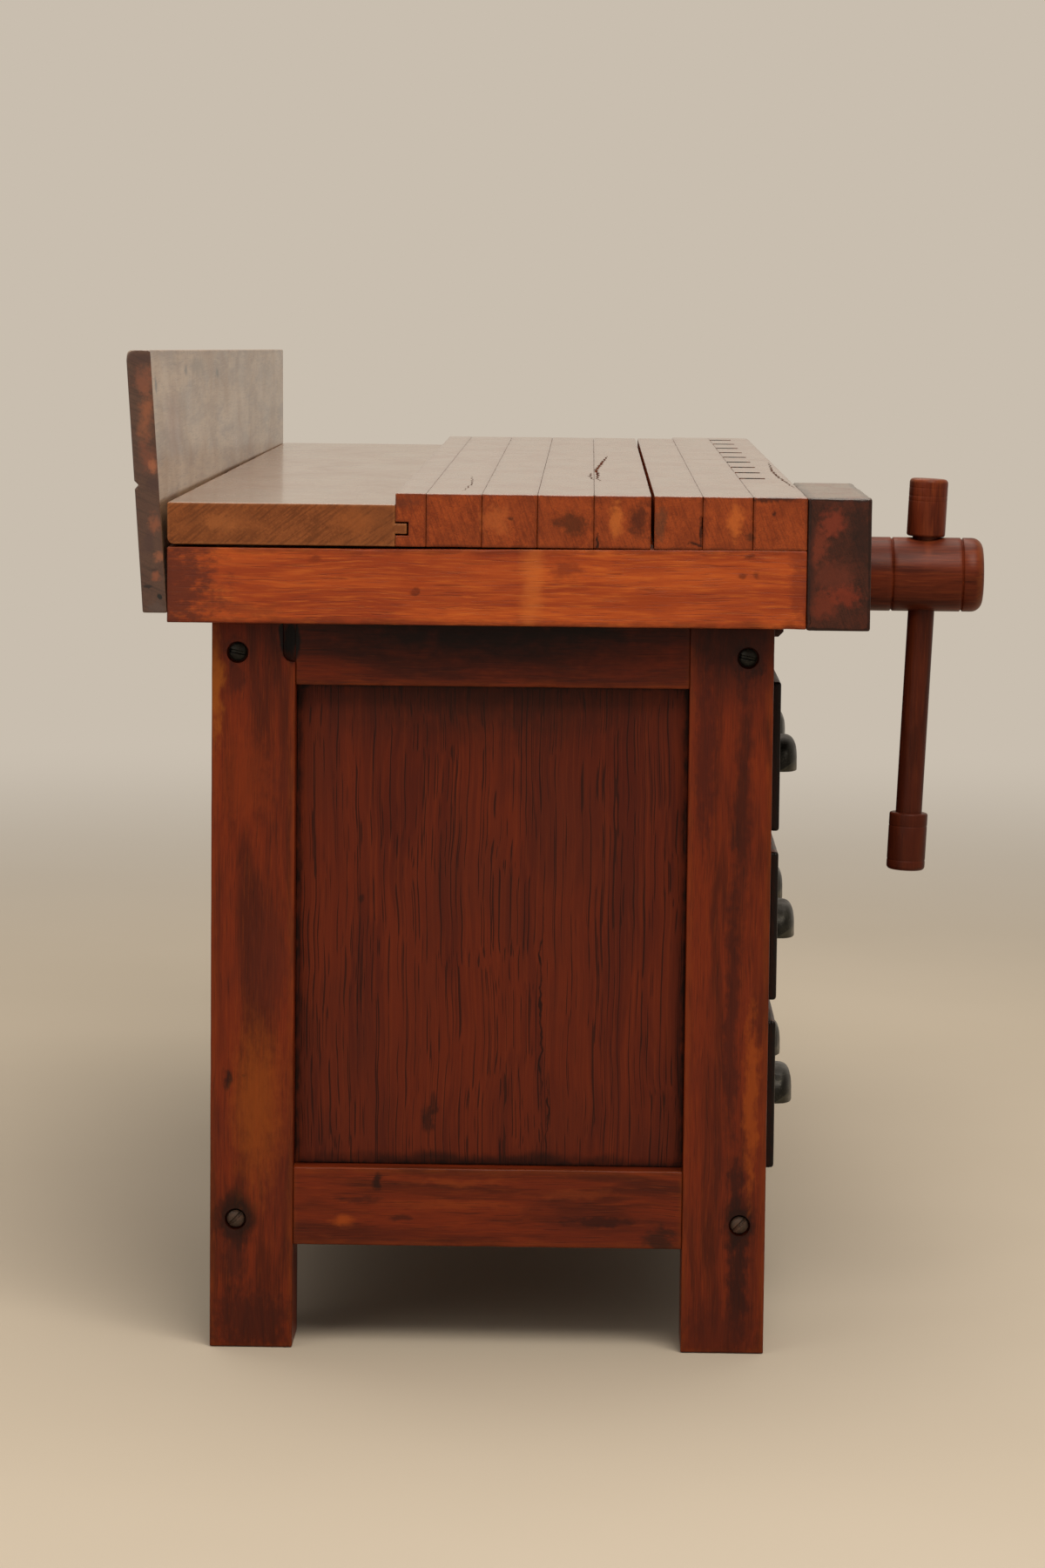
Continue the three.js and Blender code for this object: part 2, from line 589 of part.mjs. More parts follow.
const knobSide = (low, high) => [
  ...turnedCorner(KNOB_RADIUS, low + KNOB_ROUND, KNOB_ROUND, -Math.PI / 2, 0),
  ...turnedCorner(KNOB_RADIUS, high - KNOB_ROUND, KNOB_ROUND, 0, Math.PI / 2)];

const handleBar = () => hang(turned([
  [0, lowerKnobLow],
  ...knobSide(lowerKnobLow, lowerKnobHigh),
  [HANDLE_RADIUS, lowerKnobHigh],
  [HANDLE_RADIUS, boreEnd - SEAT_GAP],
  [0, boreEnd - SEAT_GAP],
]));

const handleKnob = () => hang(turned([
  [0, boreEnd],
  [boreRadius, boreEnd],
  [boreRadius, upperKnobLow],
  ...knobSide(upperKnobLow, upperKnobHigh),
  [0, upperKnobHigh],
]));

// The garter key, a fork let into the jaw's inner face that makes the jaw follow the screw
function keyRecess(radius, jawThick) {
  const half = radius + KEY_MARGIN;
  return block([-half, jawThick - KEY_THICK, -half], [half, jawThick + CUT_OVER, half]);
}

function garterKey(radius, jawThick) {
  const half = radius + KEY_MARGIN - SEAT_GAP;
  const slot = radius - KEY_DEPTH + TURN_GAP;
  const [low, high] = [jawThick - KEY_THICK + SEAT_GAP, jawThick - SEAT_GAP];
  return cut(
    block([-half, low, -half], [half, high, half]),
    rod(slot, low - CUT_OVER, high + CUT_OVER),
    block([-slot, low - CUT_OVER, -half - CUT_OVER], [slot, high + CUT_OVER, 0]));
}

// Front vise: jaw, garter key, screw, nut block, two guide rods and the sliding handle
const jawFace = -SEAT_GAP - JAW_THICK;
const atFront = (geometry) => geometry.translate(FRONT_SCREW_X, jawFace, SCREW_HEIGHT);
const frontNutBack = FRONT_NUT_SETBACK + FRONT_NUT_DEPTH;
const frontReach = frontNutBack + FRONT_TRAVEL - THREAD_ENGAGED;
const guidePlaces = [FRONT_SCREW_X - GUIDE_SPACING / 2, FRONT_SCREW_X + GUIDE_SPACING / 2];
const guideRod = (x, radius, start, end) => rod(radius, start, end).translate(x, 0, SCREW_HEIGHT);

piece('front_vise_jaw', cut(
  block([0, jawFace, TOP_HEIGHT - JAW_HEIGHT], [JAW_LENGTH, -SEAT_GAP, TOP_HEIGHT]),
  atFront(rod(FRONT_SCREW_RADIUS + TURN_GAP, -CUT_OVER, JAW_THICK + CUT_OVER)),
  atFront(keyRecess(FRONT_SCREW_RADIUS, JAW_THICK)),
  ...guidePlaces.map((x) => guideRod(x, GUIDE_RADIUS + SEAT_GAP, -GUIDE_SOCKET - SEAT_GAP, CUT_OVER))),
'jaw');
piece('front_vise_garter_key', atFront(garterKey(FRONT_SCREW_RADIUS, JAW_THICK)), 'inside');
piece('front_vise_screw', atFront(viseScrew(
  FRONT_SCREW_RADIUS, JAW_THICK, JAW_THICK + KEY_THICK, frontReach - jawFace)), 'turned');

piece('front_vise_nut', cut(
  alongX([
    [FRONT_NUT_SETBACK, LEG_TOP - FRONT_NUT_LIP + FRONT_NUT_CHAMFER],
    [FRONT_NUT_SETBACK + FRONT_NUT_CHAMFER, LEG_TOP - FRONT_NUT_LIP],
    [BASE_SETBACK - SEAT_GAP, LEG_TOP - FRONT_NUT_LIP],
    [BASE_SETBACK - SEAT_GAP, LEG_TOP],
    [frontNutBack, LEG_TOP],
    [frontNutBack, SLAB_UNDER],
    [FRONT_NUT_SETBACK, SLAB_UNDER],
  ], FRONT_NUT_START, FRONT_NUT_START + FRONT_NUT_LENGTH),
  rod(FRONT_SCREW_RADIUS + TURN_GAP, FRONT_NUT_SETBACK - CUT_OVER, frontNutBack + CUT_OVER)
    .translate(FRONT_SCREW_X, 0, SCREW_HEIGHT),
  ...guidePlaces.map((x) => guideRod(
    x, GUIDE_RADIUS + TURN_GAP, FRONT_NUT_SETBACK - CUT_OVER, frontNutBack + CUT_OVER))), 'frame');

guidePlaces.forEach((x, i) => {
  piece(`front_vise_guide_rod_${i + 1}`, guideRod(x, GUIDE_RADIUS, -GUIDE_SOCKET, frontReach), 'steel');
});
piece('front_vise_handle', atFront(handleBar()), 'turned');
piece('front_vise_handle_knob', atFront(handleKnob()), 'turned');

// Tail vise: dog block with its guide tongue, deep jaw with a cheek, garter key, screw, nut, handle
const atTail = (geometry) => geometry.rotateZ(Math.PI / 2).translate(TAIL_END, TAIL_SCREW_Y, TAIL_SCREW_HEIGHT);
const tailInner = DOG_STRIP_WIDTH - SEAT_GAP;
const tailJawStart = TAIL_END - TAIL_JAW_THICK;
const cheekStart = FAR_BEARER_END + SEAT_GAP;
const tailNutFace = TAIL_END - FAR_BEARER_END;
const tailTip = tailNutFace + THREAD_ENGAGED + TAIL_TRAVEL;

piece('tail_vise_dog_block', cut(
  join(
    alongZ([
      [TAIL_START, 0],
      [TAIL_END, 0, TAIL_ROUND],
      [TAIL_END, tailInner],
      [TAIL_START, tailInner],
    ], SLAB_UNDER + SEAT_GAP, TOP_HEIGHT),
    block(
      [TAIL_START, tailInner - CUT_OVER, tailTongueLow],
      [TOP_LENGTH, DOG_STRIP_WIDTH + TAIL_TONGUE, tailTongueLow + TAIL_TONGUE])),
  ...tailHoles.map(dogHole)), 'top');

piece('tail_vise_jaw', cut(
  alongZ([
    [cheekStart, 0],
    [TAIL_END, 0, TAIL_ROUND],
    [TAIL_END, tailInner],
    [tailJawStart, tailInner],
    [tailJawStart, TAIL_CHEEK_THICK],
    [cheekStart, TAIL_CHEEK_THICK],
  ], TOP_HEIGHT - TAIL_DEPTH, SLAB_UNDER + SEAT_GAP),
  atTail(rod(TAIL_SCREW_RADIUS + TURN_GAP, -CUT_OVER, TAIL_JAW_THICK + CUT_OVER)),
  atTail(keyRecess(TAIL_SCREW_RADIUS, TAIL_JAW_THICK))), 'jaw');
piece('tail_vise_garter_key', atTail(garterKey(TAIL_SCREW_RADIUS, TAIL_JAW_THICK)), 'inside');
piece('tail_vise_screw', atTail(viseScrew(
  TAIL_SCREW_RADIUS, TAIL_JAW_THICK, tailNutFace - THREAD_PITCH, tailTip)), 'turned');

// The nut takes the place of the far bearer's front end, on top of the leg
piece('tail_vise_nut', cut(
  block([FAR_BEARER_START, 0, LEG_TOP], [FAR_BEARER_END, TAIL_NUT_WIDTH, SLAB_UNDER]),
  atTail(rod(TAIL_SCREW_RADIUS + TURN_GAP, tailNutFace - CUT_OVER, tailNutFace + BEARER_DEPTH + CUT_OVER))),
'bearer');
piece('tail_vise_handle', atTail(handleBar()), 'turned');
piece('tail_vise_handle_knob', atTail(handleKnob()), 'turned');

// The origin is on the floor, under the middle of the whole bench
const reach = new THREE.Box3().setFromObject(bench);
const middle = reach.getCenter(new THREE.Vector3());
bench.position.set(-middle.x, -middle.y, -reach.min.z);

export default bench;
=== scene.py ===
"""Looks of an old cabinetmaker's bench with a front vise, a tail vise, a tool tray and three drawers.

Lengths are in millimetres in the bench's own axes: x from the front-vise end along the bench, y from the
front edge of the top to the back, z up from the floor. One function turns them into the frame's metres.
"""

import logging
import math
from dataclasses import dataclass, replace
from enum import Enum
from typing import Sequence

import bpy
import numpy as np
from mathutils import Matrix, Vector


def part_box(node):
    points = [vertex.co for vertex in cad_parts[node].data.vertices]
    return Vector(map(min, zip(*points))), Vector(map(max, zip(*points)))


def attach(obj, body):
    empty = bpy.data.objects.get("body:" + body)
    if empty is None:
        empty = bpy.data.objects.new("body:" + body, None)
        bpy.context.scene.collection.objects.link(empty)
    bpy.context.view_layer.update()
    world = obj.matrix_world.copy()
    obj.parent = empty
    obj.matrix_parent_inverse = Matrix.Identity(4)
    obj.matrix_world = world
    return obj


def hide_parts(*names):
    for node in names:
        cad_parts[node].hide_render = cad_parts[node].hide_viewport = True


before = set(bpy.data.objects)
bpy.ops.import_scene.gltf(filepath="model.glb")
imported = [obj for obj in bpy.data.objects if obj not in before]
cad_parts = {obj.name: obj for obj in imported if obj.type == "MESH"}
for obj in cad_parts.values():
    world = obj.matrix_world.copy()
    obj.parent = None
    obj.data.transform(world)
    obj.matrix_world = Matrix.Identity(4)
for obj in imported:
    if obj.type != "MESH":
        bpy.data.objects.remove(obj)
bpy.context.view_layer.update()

logging.basicConfig(level=logging.INFO, format="%(message)s")
LOG = logging.getLogger("bench")

MM = 0.001
CORNER = np.asarray(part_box("near_bearer")[0]) * (1, 1, 0)  # the bench's own zero, in the frame's metres


class Axis(Enum):
    """The bench's three directions."""

    LENGTH = 0
    DEPTH = 1
    HEIGHT = 2

    def across(self) -> tuple[int, int]:
        """The two directions across this one, in right-handed order."""
        return (self.value + 1) % 3, (self.value + 2) % 3


class End(Enum):
    """The two ends of the bench, each with the way its outer face looks along the length."""

    NEAR = -1
    FAR = 1


def metres(points: np.ndarray) -> np.ndarray:
    """Bench millimetres as metres in the frame.

    Args:
        points: places in millimetres, three values in the last axis.

    Returns:
        The same places in the frame's metres.
    """
    return np.asarray(points, float) * MM + CORNER


def linear(code: str) -> tuple[float, float, float, float]:
    """An sRGB hex colour as the linear values that a shader takes.

    Args:
        code: the colour, such as "#8a4a22".

    Returns:
        Red, green, blue and full opacity.
    """
    part = np.array([int(code[i:i + 2], 16) for i in (1, 3, 5)]) / 255
    value = np.where(part <= 0.04045, part / 12.92, ((part + 0.055) / 1.055) ** 2.4)
    return (*value.tolist(), 1.0)


def add_node(tree: bpy.types.NodeTree, kind: str, settings: dict | None = None,
             links: dict | None = None) -> bpy.types.Node:
    """Adds one shader node.

    Args:
        tree: where the node goes.
        kind: the node's type name.
        settings: options and unlinked inputs by name, or inputs by number.
        links: sockets that feed the other inputs.

    Returns:
        The new node.
    """
    node = tree.nodes.new(kind)
    options = {k: v for k, v in (settings or {}).items() if isinstance(k, str) and hasattr(node, k)}
    for key, value in options.items():
        setattr(node, key, value)
    for key, value in (settings or {}).items():
        if key not in options:
            node.inputs[key].default_value = value
    for key, source in (links or {}).items():
        tree.links.new(source, node.inputs[key])
    return node


# How boards are drawn, in millimetres where nothing else is said

ARC = np.linspace(0, 1, 5)  # points of one rounded corner, as shares of it
SIDE = np.array([0.03, 0.12, 0.3, 0.5, 0.7, 0.88, 0.97])  # points along one side, as shares of it
END_STEPS = np.array([2.5, 6, 11, 18, 27, 38, 52, 70])  # rings near a board's end
WIDE_STEP = 22  # between the rings elsewhere
BREAK_GAP = 0.15  # a ring on each side of a sudden change of section
INSET = 4.0  # how far inside a board's end its flat face starts
END_CLEAR = 1.6  # plain rings keep this many end roundings away from the ends
LEAST_EASE = 0.12  # rounding that stays at the corners of the end's flat face
ARRIS_WAVES = (140, 61, 27, 11)  # ripples in the rounding of a long arris
KNOCK_HALF = 6.0  # half width of a knock in a long arris
KNOCK_EASE = 1.6  # largest rounding that knocks grow with
KNOCK_DEEP = 1.6  # share of that rounding that one knock adds
END_ROUND = 400  # length given to the way round an end's outline
END_WAVES = (200, 80, 40, END_ROUND / 23)  # ripples in the rounding of an end's arris
END_KNOCK_HALF = 5  # half width of a knock in an end's arris
END_KNOCK_DEEP = 0.9  # share of the end's rounding that one knock adds
EDGE_REACH = 5.0  # how far from an arris its wear shows
END_FADE = 0.6  # how much less an end's arris counts as end grain


# Surfaces

@dataclass
class Surface:
    """A closed skin as arrays, with marks on its points that the finishes read.

    The marks are edge (1 on a worn arris, 0 away from it), end (1 on end grain, -1 deep in a hollow) and
    stave (one random value per board, so that neighbours differ).
    """

    points: np.ndarray
    quads: np.ndarray
    caps: list[np.ndarray]
    edge: np.ndarray
    end: np.ndarray
    stave: np.ndarray

    @staticmethod
    def joined(parts: Sequence["Surface"]) -> "Surface":
        """Several skins as one, each still closed by itself."""
        starts = np.cumsum([0] + [len(p.points) for p in parts])
        return Surface(
            np.concatenate([p.points for p in parts]),
            np.concatenate([p.quads + s for p, s in zip(parts, starts)]),
            [cap + s for p, s in zip(parts, starts) for cap in p.caps],
            np.concatenate([p.edge for p in parts]),
            np.concatenate([p.end for p in parts]),
            np.concatenate([p.stave for p in parts]))


def lofted(rings: np.ndarray, edge: np.ndarray, end: np.ndarray, stave: float) -> Surface:
    """Closes a row of rings into a skin.

    Point p of ring j is joined to point p + 1 and to the same points of ring j + 1, and one flat face
    fills the first and the last ring.

    Args:
        rings: places, rings x points x 3, anticlockwise seen against the way the rings go.
        edge: the edge mark, rings x points.
        end: the end mark, rings x points.
        stave: the stave mark of the whole skin.

    Returns:
        The closed skin.
    """
    count, per, _ = rings.shape
    number = np.arange(count * per).reshape(count, per)
    after = np.roll(number, -1, axis=1)
    quads = np.stack([number[:-1], after[:-1], after[1:], number[1:]], -1).reshape(-1, 4)
    return Surface(rings.reshape(-1, 3), quads, [number[0, ::-1], number[-1]],
                   edge.ravel(), end.ravel(), np.full(count * per, stave))


def grid_faces(rows: int, columns: int) -> np.ndarray:
    """The faces of an open grid: each point with its neighbours in the next row and column."""
    at = np.arange(rows * columns).reshape(rows, columns)
    return np.stack([at[:-1, :-1], at[1:, :-1], at[1:, 1:], at[:-1, 1:]], -1).reshape(-1, 4)


def ripple(rng: np.random.Generator, places: np.ndarray, waves: Sequence[float]) -> np.ndarray:
    """A smooth random line within -1 to 1: the mean of sines of the given lengths, at random phases."""
    phase = rng.uniform(0, 2 * np.pi, len(waves))
    return np.sin(places[..., None] * 2 * np.pi / np.asarray(waves) + phase).mean(-1)


def dents(rng: np.random.Generator, places: np.ndarray, count: int, width: float) -> np.ndarray:
    """Knocks along an arris: a sum of bell curves of random height at random places.

    Args:
        rng: where the draws come from.
        places: along the arris.
        count: how many knocks there are.
        width: half the width of one.

    Returns:
        The depth of the knocks at each place, 0 to 1 for one.
    """
    if count == 0:
        return np.zeros_like(places)
    middle = rng.uniform(places.min(), places.max(), count)
    high = rng.uniform(0.3, 1.0, count)
    return (high * np.exp(-((places[..., None] - middle) / width) ** 2)).sum(-1)


def along_board(start: float, stop: float, breaks: Sequence[float] = ()) -> np.ndarray:
    """Places along a board: close near its ends and on both sides of each break, wide between.

    Args:
        start: of the board.
        stop: of the board.
        breaks: where its section changes suddenly.

    Returns:
        The places, rising.
    """
    near = END_STEPS[END_STEPS < (stop - start) / 2]
    wide = np.linspace(start, stop, max(3, int((stop - start) / WIDE_STEP)))[1:-1]
    pairs = np.asarray(breaks, float)
    return np.unique(np.concatenate([
        start + near, stop - near, wide, pairs - BREAK_GAP, pairs + BREAK_GAP]))


def sections(places: np.ndarray, *corners: tuple) -> np.ndarray:
    """The outline at each place, from corners whose values are numbers or arrays by place."""
    return np.stack([np.stack([v + 0.0 * places for v in corner], -1) for corner in corners], 1)


def eased_ring(corners: np.ndarray, ease: np.ndarray) -> tuple[np.ndarray, np.ndarray]:
    """A polygon with rounded corners.

    Each corner is a quadratic curve from the point one ease before it to the point one ease after it,
    with the corner as its control point, and each side has further points at fixed shares of its length.

    Args:
        corners: rings x corners x 2, anticlockwise.
        ease: rings x corners, the length that the rounding takes from each side.

    Returns:
        The points, rings x points x 2, and their distance from the nearest corner.
    """
    def toward(other: np.ndarray) -> np.ndarray:
        """Unit directions from each corner to another point."""
        gap = other - corners
        return gap / np.maximum(np.linalg.norm(gap, axis=-1, keepdims=True), 1e-6)

    start = corners + ease[..., None] * toward(np.roll(corners, 1, 1))
    stop = corners + ease[..., None] * toward(np.roll(corners, -1, 1))
    t = ARC[:, None]
    arc = ((1 - t) ** 2 * start[:, :, None] + 2 * t * (1 - t) * corners[:, :, None]
           + t ** 2 * stop[:, :, None])
    reach = np.roll(start, -1, 1) - stop
    side = stop[:, :, None] + SIDE[:, None] * reach[:, :, None]
    far = np.minimum(SIDE, 1 - SIDE) * np.linalg.norm(reach, axis=-1)[..., None]
    away = np.concatenate([np.zeros(arc.shape[:3]), far], 2)
    count = len(corners)
    return np.concatenate([arc, side], 2).reshape(count, -1, 2), away.reshape(count, -1)


def mitred(corners: np.ndarray, by: float) -> np.ndarray:
    """Corners moved in by the same length from both their sides.

    The move is by * (n + m) / (1 + n . m), where n and m are the normals of the two sides.

    Args:
        corners: of an outline, two values in the last axis.
        by: how far its sides move in.

    Returns:
        The corners of the smaller outline.
    """
    on = np.roll(corners, -1, -2) - corners
    on /= np.maximum(np.linalg.norm(on, axis=-1, keepdims=True), 1e-6)
    after = np.stack([-on[..., 1], on[..., 0]], -1)
    before = np.roll(after, 1, -2)
    closeness = np.maximum(1 + (before * after).sum(-1, keepdims=True), 0.2)
    return corners + by * (before + after) / closeness


def carried(axis: Axis, corners: np.ndarray, places: np.ndarray, span: tuple[float, float],
            ease: Sequence[float], end_ease: float = 1.2, wear: float = 0.45, chips: int = 0,
            seed: int = 1) -> Surface:
    """A worn board: a polygon carried along an axis.

    The rounding of each long arris is its ease times one plus a random ripple, plus knocks. At each end
    the outline moves towards a mitred smaller one by end_ease * (1 - t)^2 while it moves along by
    end_ease * t^2, which rounds the end's arris, and a flat face closes the smaller outline.

    Args:
        axis: the direction that the polygon is carried in.
        corners: corners x 2, or places x corners x 2 where the section changes, anticlockwise.
        places: where the rings stand, inside the span.
        span: where the board starts and stops.
        ease: rounding of each corner.
        end_ease: rounding of the end's arris.
        wear: how much the roundings vary.
        chips: how many knocks each arris has.
        seed: of the random wear.

    Returns:
        The closed skin of the board.
    """
    rng = np.random.default_rng(seed)
    start, stop = span
    inside = (places > start + END_CLEAR * end_ease) & (places < stop - END_CLEAR * end_ease)
    corners = np.broadcast_to(corners, (len(places), *np.shape(corners)[-2:]))[inside]
    places = places[inside]
    base = np.asarray(ease, float)
    vary = np.stack([1 + wear * ripple(rng, places, ARRIS_WAVES) for _ in base], 1)
    knocks = np.stack([dents(rng, places, chips, KNOCK_HALF) for _ in base], 1)
    ease = base * vary + np.minimum(base, KNOCK_EASE) * KNOCK_DEEP * knocks
    ring, away = eased_ring(corners, ease)
    inner, _ = eased_ring(mitred(corners[[0, -1]], INSET),
                          np.maximum(ease[[0, -1]] - INSET, LEAST_EASE))
    round_way = np.linspace(0, 1, ring.shape[1], endpoint=False) * END_ROUND
    size = end_ease * (1 + wear * ripple(rng, round_way, END_WAVES)
                       + END_KNOCK_DEEP * dents(rng, round_way, chips, END_KNOCK_HALF))
    bend = np.concatenate([[0.0], ARC])[:, None]
    share = size * (1 - bend) ** 2 / INSET
    share[0] = 1.0
    move_on = size * bend ** 2
    first = ring[0] + (inner[0] - ring[0]) * share[..., None]
    last = (ring[-1] + (inner[1] - ring[-1]) * share[..., None])[::-1]
    flat = np.concatenate([first, ring, last])
    on = np.concatenate([
        start + move_on, np.repeat(places[:, None], ring.shape[1], 1), (stop - move_on)[::-1]])

    rings = np.zeros((*flat.shape[:2], 3))
    rings[..., axis.value] = on
    rings[..., list(axis.across())] = flat
    gap = np.minimum(away, np.minimum(places - start, stop - places)[:, None])
    tip = np.ones((len(bend), ring.shape[1]))
    tip[0] = 0
    edge = np.concatenate([tip, np.exp(-(gap / EDGE_REACH) ** 2), tip[::-1]])
    cut = np.ones((len(bend), ring.shape[1])) * (1 - END_FADE * bend ** 2)
    end = np.concatenate([cut, np.zeros_like(away), cut[::-1]])
    return lofted(rings, edge, end, float(rng.random()))


def board(axis: Axis, low: Sequence[float], high: Sequence[float], ease: float = 1.4,
          **wear: float) -> Surface:
    """A plain board between two corners: a rectangle carried along an axis.

    Args:
        axis: the direction of its grain.
        low: its corner nearest the bench's zero.
        high: the corner across from it.
        ease: rounding of its long arrises.
        wear: what carried takes besides.

    Returns:
        The closed skin of the board.
    """
    a, b = axis.across()
    corners = np.array([
        (low[a], low[b]), (high[a], low[b]), (high[a], high[b]), (low[a], high[b])], float)
    span = (low[axis.value], high[axis.value])
    return carried(axis, corners, along_board(*span), span, [ease] * 4, **wear)


@dataclass(frozen=True)
class Seat:
    """A place with its own directions, for pieces made round their own axis."""

    origin: tuple[float, float, float]
    side: tuple[float, float, float]
    on: tuple[float, float, float]
    up: tuple[float, float, float]

    def put(self, points: np.ndarray) -> np.ndarray:
        """Own side, on and up values as bench millimetres."""
        return np.asarray(self.origin) + points @ np.array([self.side, self.on, self.up], float)


def spun(seat: Seat, radius: np.ndarray, height: np.ndarray, sides: int = 72,
         edge: np.ndarray | float = 0.0, seed: int = 1) -> Surface:
    """A turned piece: radius against height, spun about the seat's own on direction.

    Point (h, a) is at radius(h, a) * (cos a, sin a) across the axis and at height(h) along it.

    Args:
        seat: where the piece stands.
        radius: by height, or by height and angle.
        height: along the axis, rising.
        sides: facets round a turn.
        edge: edge mark by height.
        seed: of the stave mark.

    Returns:
        The closed skin.
    """
    angle = np.linspace(0, 2 * np.pi, sides, endpoint=False)
    by_angle = radius if np.ndim(radius) == 2 else np.asarray(radius)[:, None]
    radius = np.broadcast_to(by_angle, (len(height), sides))
    on = np.broadcast_to(height[:, None], radius.shape)
    own = np.stack([radius * np.sin(angle), on, radius * np.cos(angle)], -1)
    mark = np.broadcast_to(np.asarray(edge, float)[..., None], radius.shape)
    face = np.zeros_like(radius)
    face[0] = face[-1] = 1
    return lofted(seat.put(own), mark, face, float(np.random.default_rng(seed).random()))


def quarter(radius: float, height: float, round_: float, start: float, stop: float) -> np.ndarray:
    """An arc of a turned profile: round_ about (radius - round_, height), between angles in degrees."""
    turn = np.radians(np.linspace(start, stop, 8))
    return np.stack([radius - round_ + round_ * np.cos(turn), height + round_ * np.sin(turn)], 1)


def groove(radius: float, height: float, half: float, deep: float) -> np.ndarray:
    """A hollow in a turned profile: radius less deep times a raised cosine over twice half."""
    at = np.linspace(-half, half, 9)
    return np.stack([radius - deep * (0.5 + 0.5 * np.cos(np.pi * at / half)), height + at], 1)


# Finishes

# black for the drawer lips' arrises and ends, and painted shade deep in bored hollows
DIRT_AND_SHADE = "#0c0604"  # old dirt and deep shade


def new_material(name: str) -> tuple[bpy.types.Material, bpy.types.NodeTree, bpy.types.NodeSocket]:
    """Starts a material without nodes.

    Args:
        name: of the material.

    Returns:
        The material, its node tree and its Object coordinates.
    """
    made = bpy.data.materials.new(name)
    made.use_nodes = True
    made.node_tree.nodes.clear()
    place = add_node(made.node_tree, "ShaderNodeTexCoord").outputs["Object"]
    return made, made.node_tree, place


def painted(tree: bpy.types.NodeTree, under: str | bpy.types.NodeSocket, tint: str,
            pattern: bpy.types.NodeSocket, low: float, high: float,
            share: float) -> bpy.types.NodeSocket:
    """Lays one colour over another where a pattern is strong.

    The cover is share times a smooth step of the pattern from low to high.

    Args:
        tree: where the nodes go.
        under: the colour below, as a hex value or a socket.
        tint: the colour on top.
        pattern: where it goes.
        low: value of the pattern where it starts.
        high: value of the pattern where it is full.
        share: its cover where it is full.

    Returns:
        The mixed colour.
    """
    mask = add_node(tree, "ShaderNodeMapRange", {
        "interpolation_type": "SMOOTHSTEP", "From Min": low, "From Max": high, "To Max": share,
    }, {"Value": pattern}).outputs[0]
    plain = isinstance(under, str)
    settings = {"data_type": "RGBA", 7: linear(tint), **({6: linear(under)} if plain else {})}
    links = {0: mask, **({} if plain else {6: under})}
    return add_node(tree, "ShaderNodeMix", settings, links).outputs[2]


def swayed(tree: bpy.types.NodeTree, place: bpy.types.NodeSocket, width: float, detail: float,
           reach: float) -> bpy.types.NodeSocket:
    """Coordinates plus noise, which sways what is drawn on them.

    Args:
        tree: where the nodes go.
        place: the coordinates.
        width: of the noise, in millimetres.
        detail: of the noise.
        reach: how far it moves them each way at most, in millimetres.

    Returns:
        The moved coordinates.
    """
    noise = add_node(tree, "ShaderNodeTexNoise", {"Scale": 1 / (width * MM), "Detail": detail},
                     {"Vector": place})
    sway = add_node(tree, "ShaderNodeVectorMath", {
        "operation": "MULTIPLY_ADD", 1: (2 * reach * MM,) * 3, 2: (-reach * MM,) * 3},
        {0: noise.outputs[1]})
    moved = add_node(tree, "ShaderNodeVectorMath", {"operation": "ADD"}, {0: place, 1: sway.outputs[0]})
    return moved.outputs[0]


@dataclass(frozen=True)
class Stain:
    """A mark in the wood: an ellipsoid in bench millimetres with a torn edge, and its colour."""

    centre: tuple[float, float, float]
    radii: tuple[float, float, float]
    colour: str
    strength: float = 0.8
    core: float = 0.3
    torn: float = 1.5


@dataclass(frozen=True)
class DogHoles:
    """A row of square dog holes, cut as notches into the back of a strip's front lamination."""

    first: float
    count: int
    pitch: float = 152
    half: float = 12.5
    floor: float = 25.0
    seam: float = 51.7

    def middles(self) -> np.ndarray:
        """Where the holes stand along the bench."""
        return self.first + self.pitch * np.arange(self.count)

    def sides(self) -> np.ndarray:
        """Where the holes' two sides stand."""
        return np.concatenate([self.middles() - self.half, self.middles() + self.half])

    def back(self, places: np.ndarray) -> np.ndarray:
        """The lamination's back: the floor of a notch inside a hole, the seam elsewhere."""
        inside = np.abs(places[:, None] - self.middles()).min(1) < self.half
        return np.where(inside, self.floor, self.seam)

    def hole_shade(self) -> tuple[Stain, ...]:
        """Painted shade inside the holes."""
        return tuple(Stain((x, 38, 824), (22, 17, 36), "#0a0503", 0.97, 0.75)
                     for x in self.middles().tolist())


FRONT_HOLES = DogHoles(433, 4)
TAIL_HOLES = DogHoles(1041, 5)


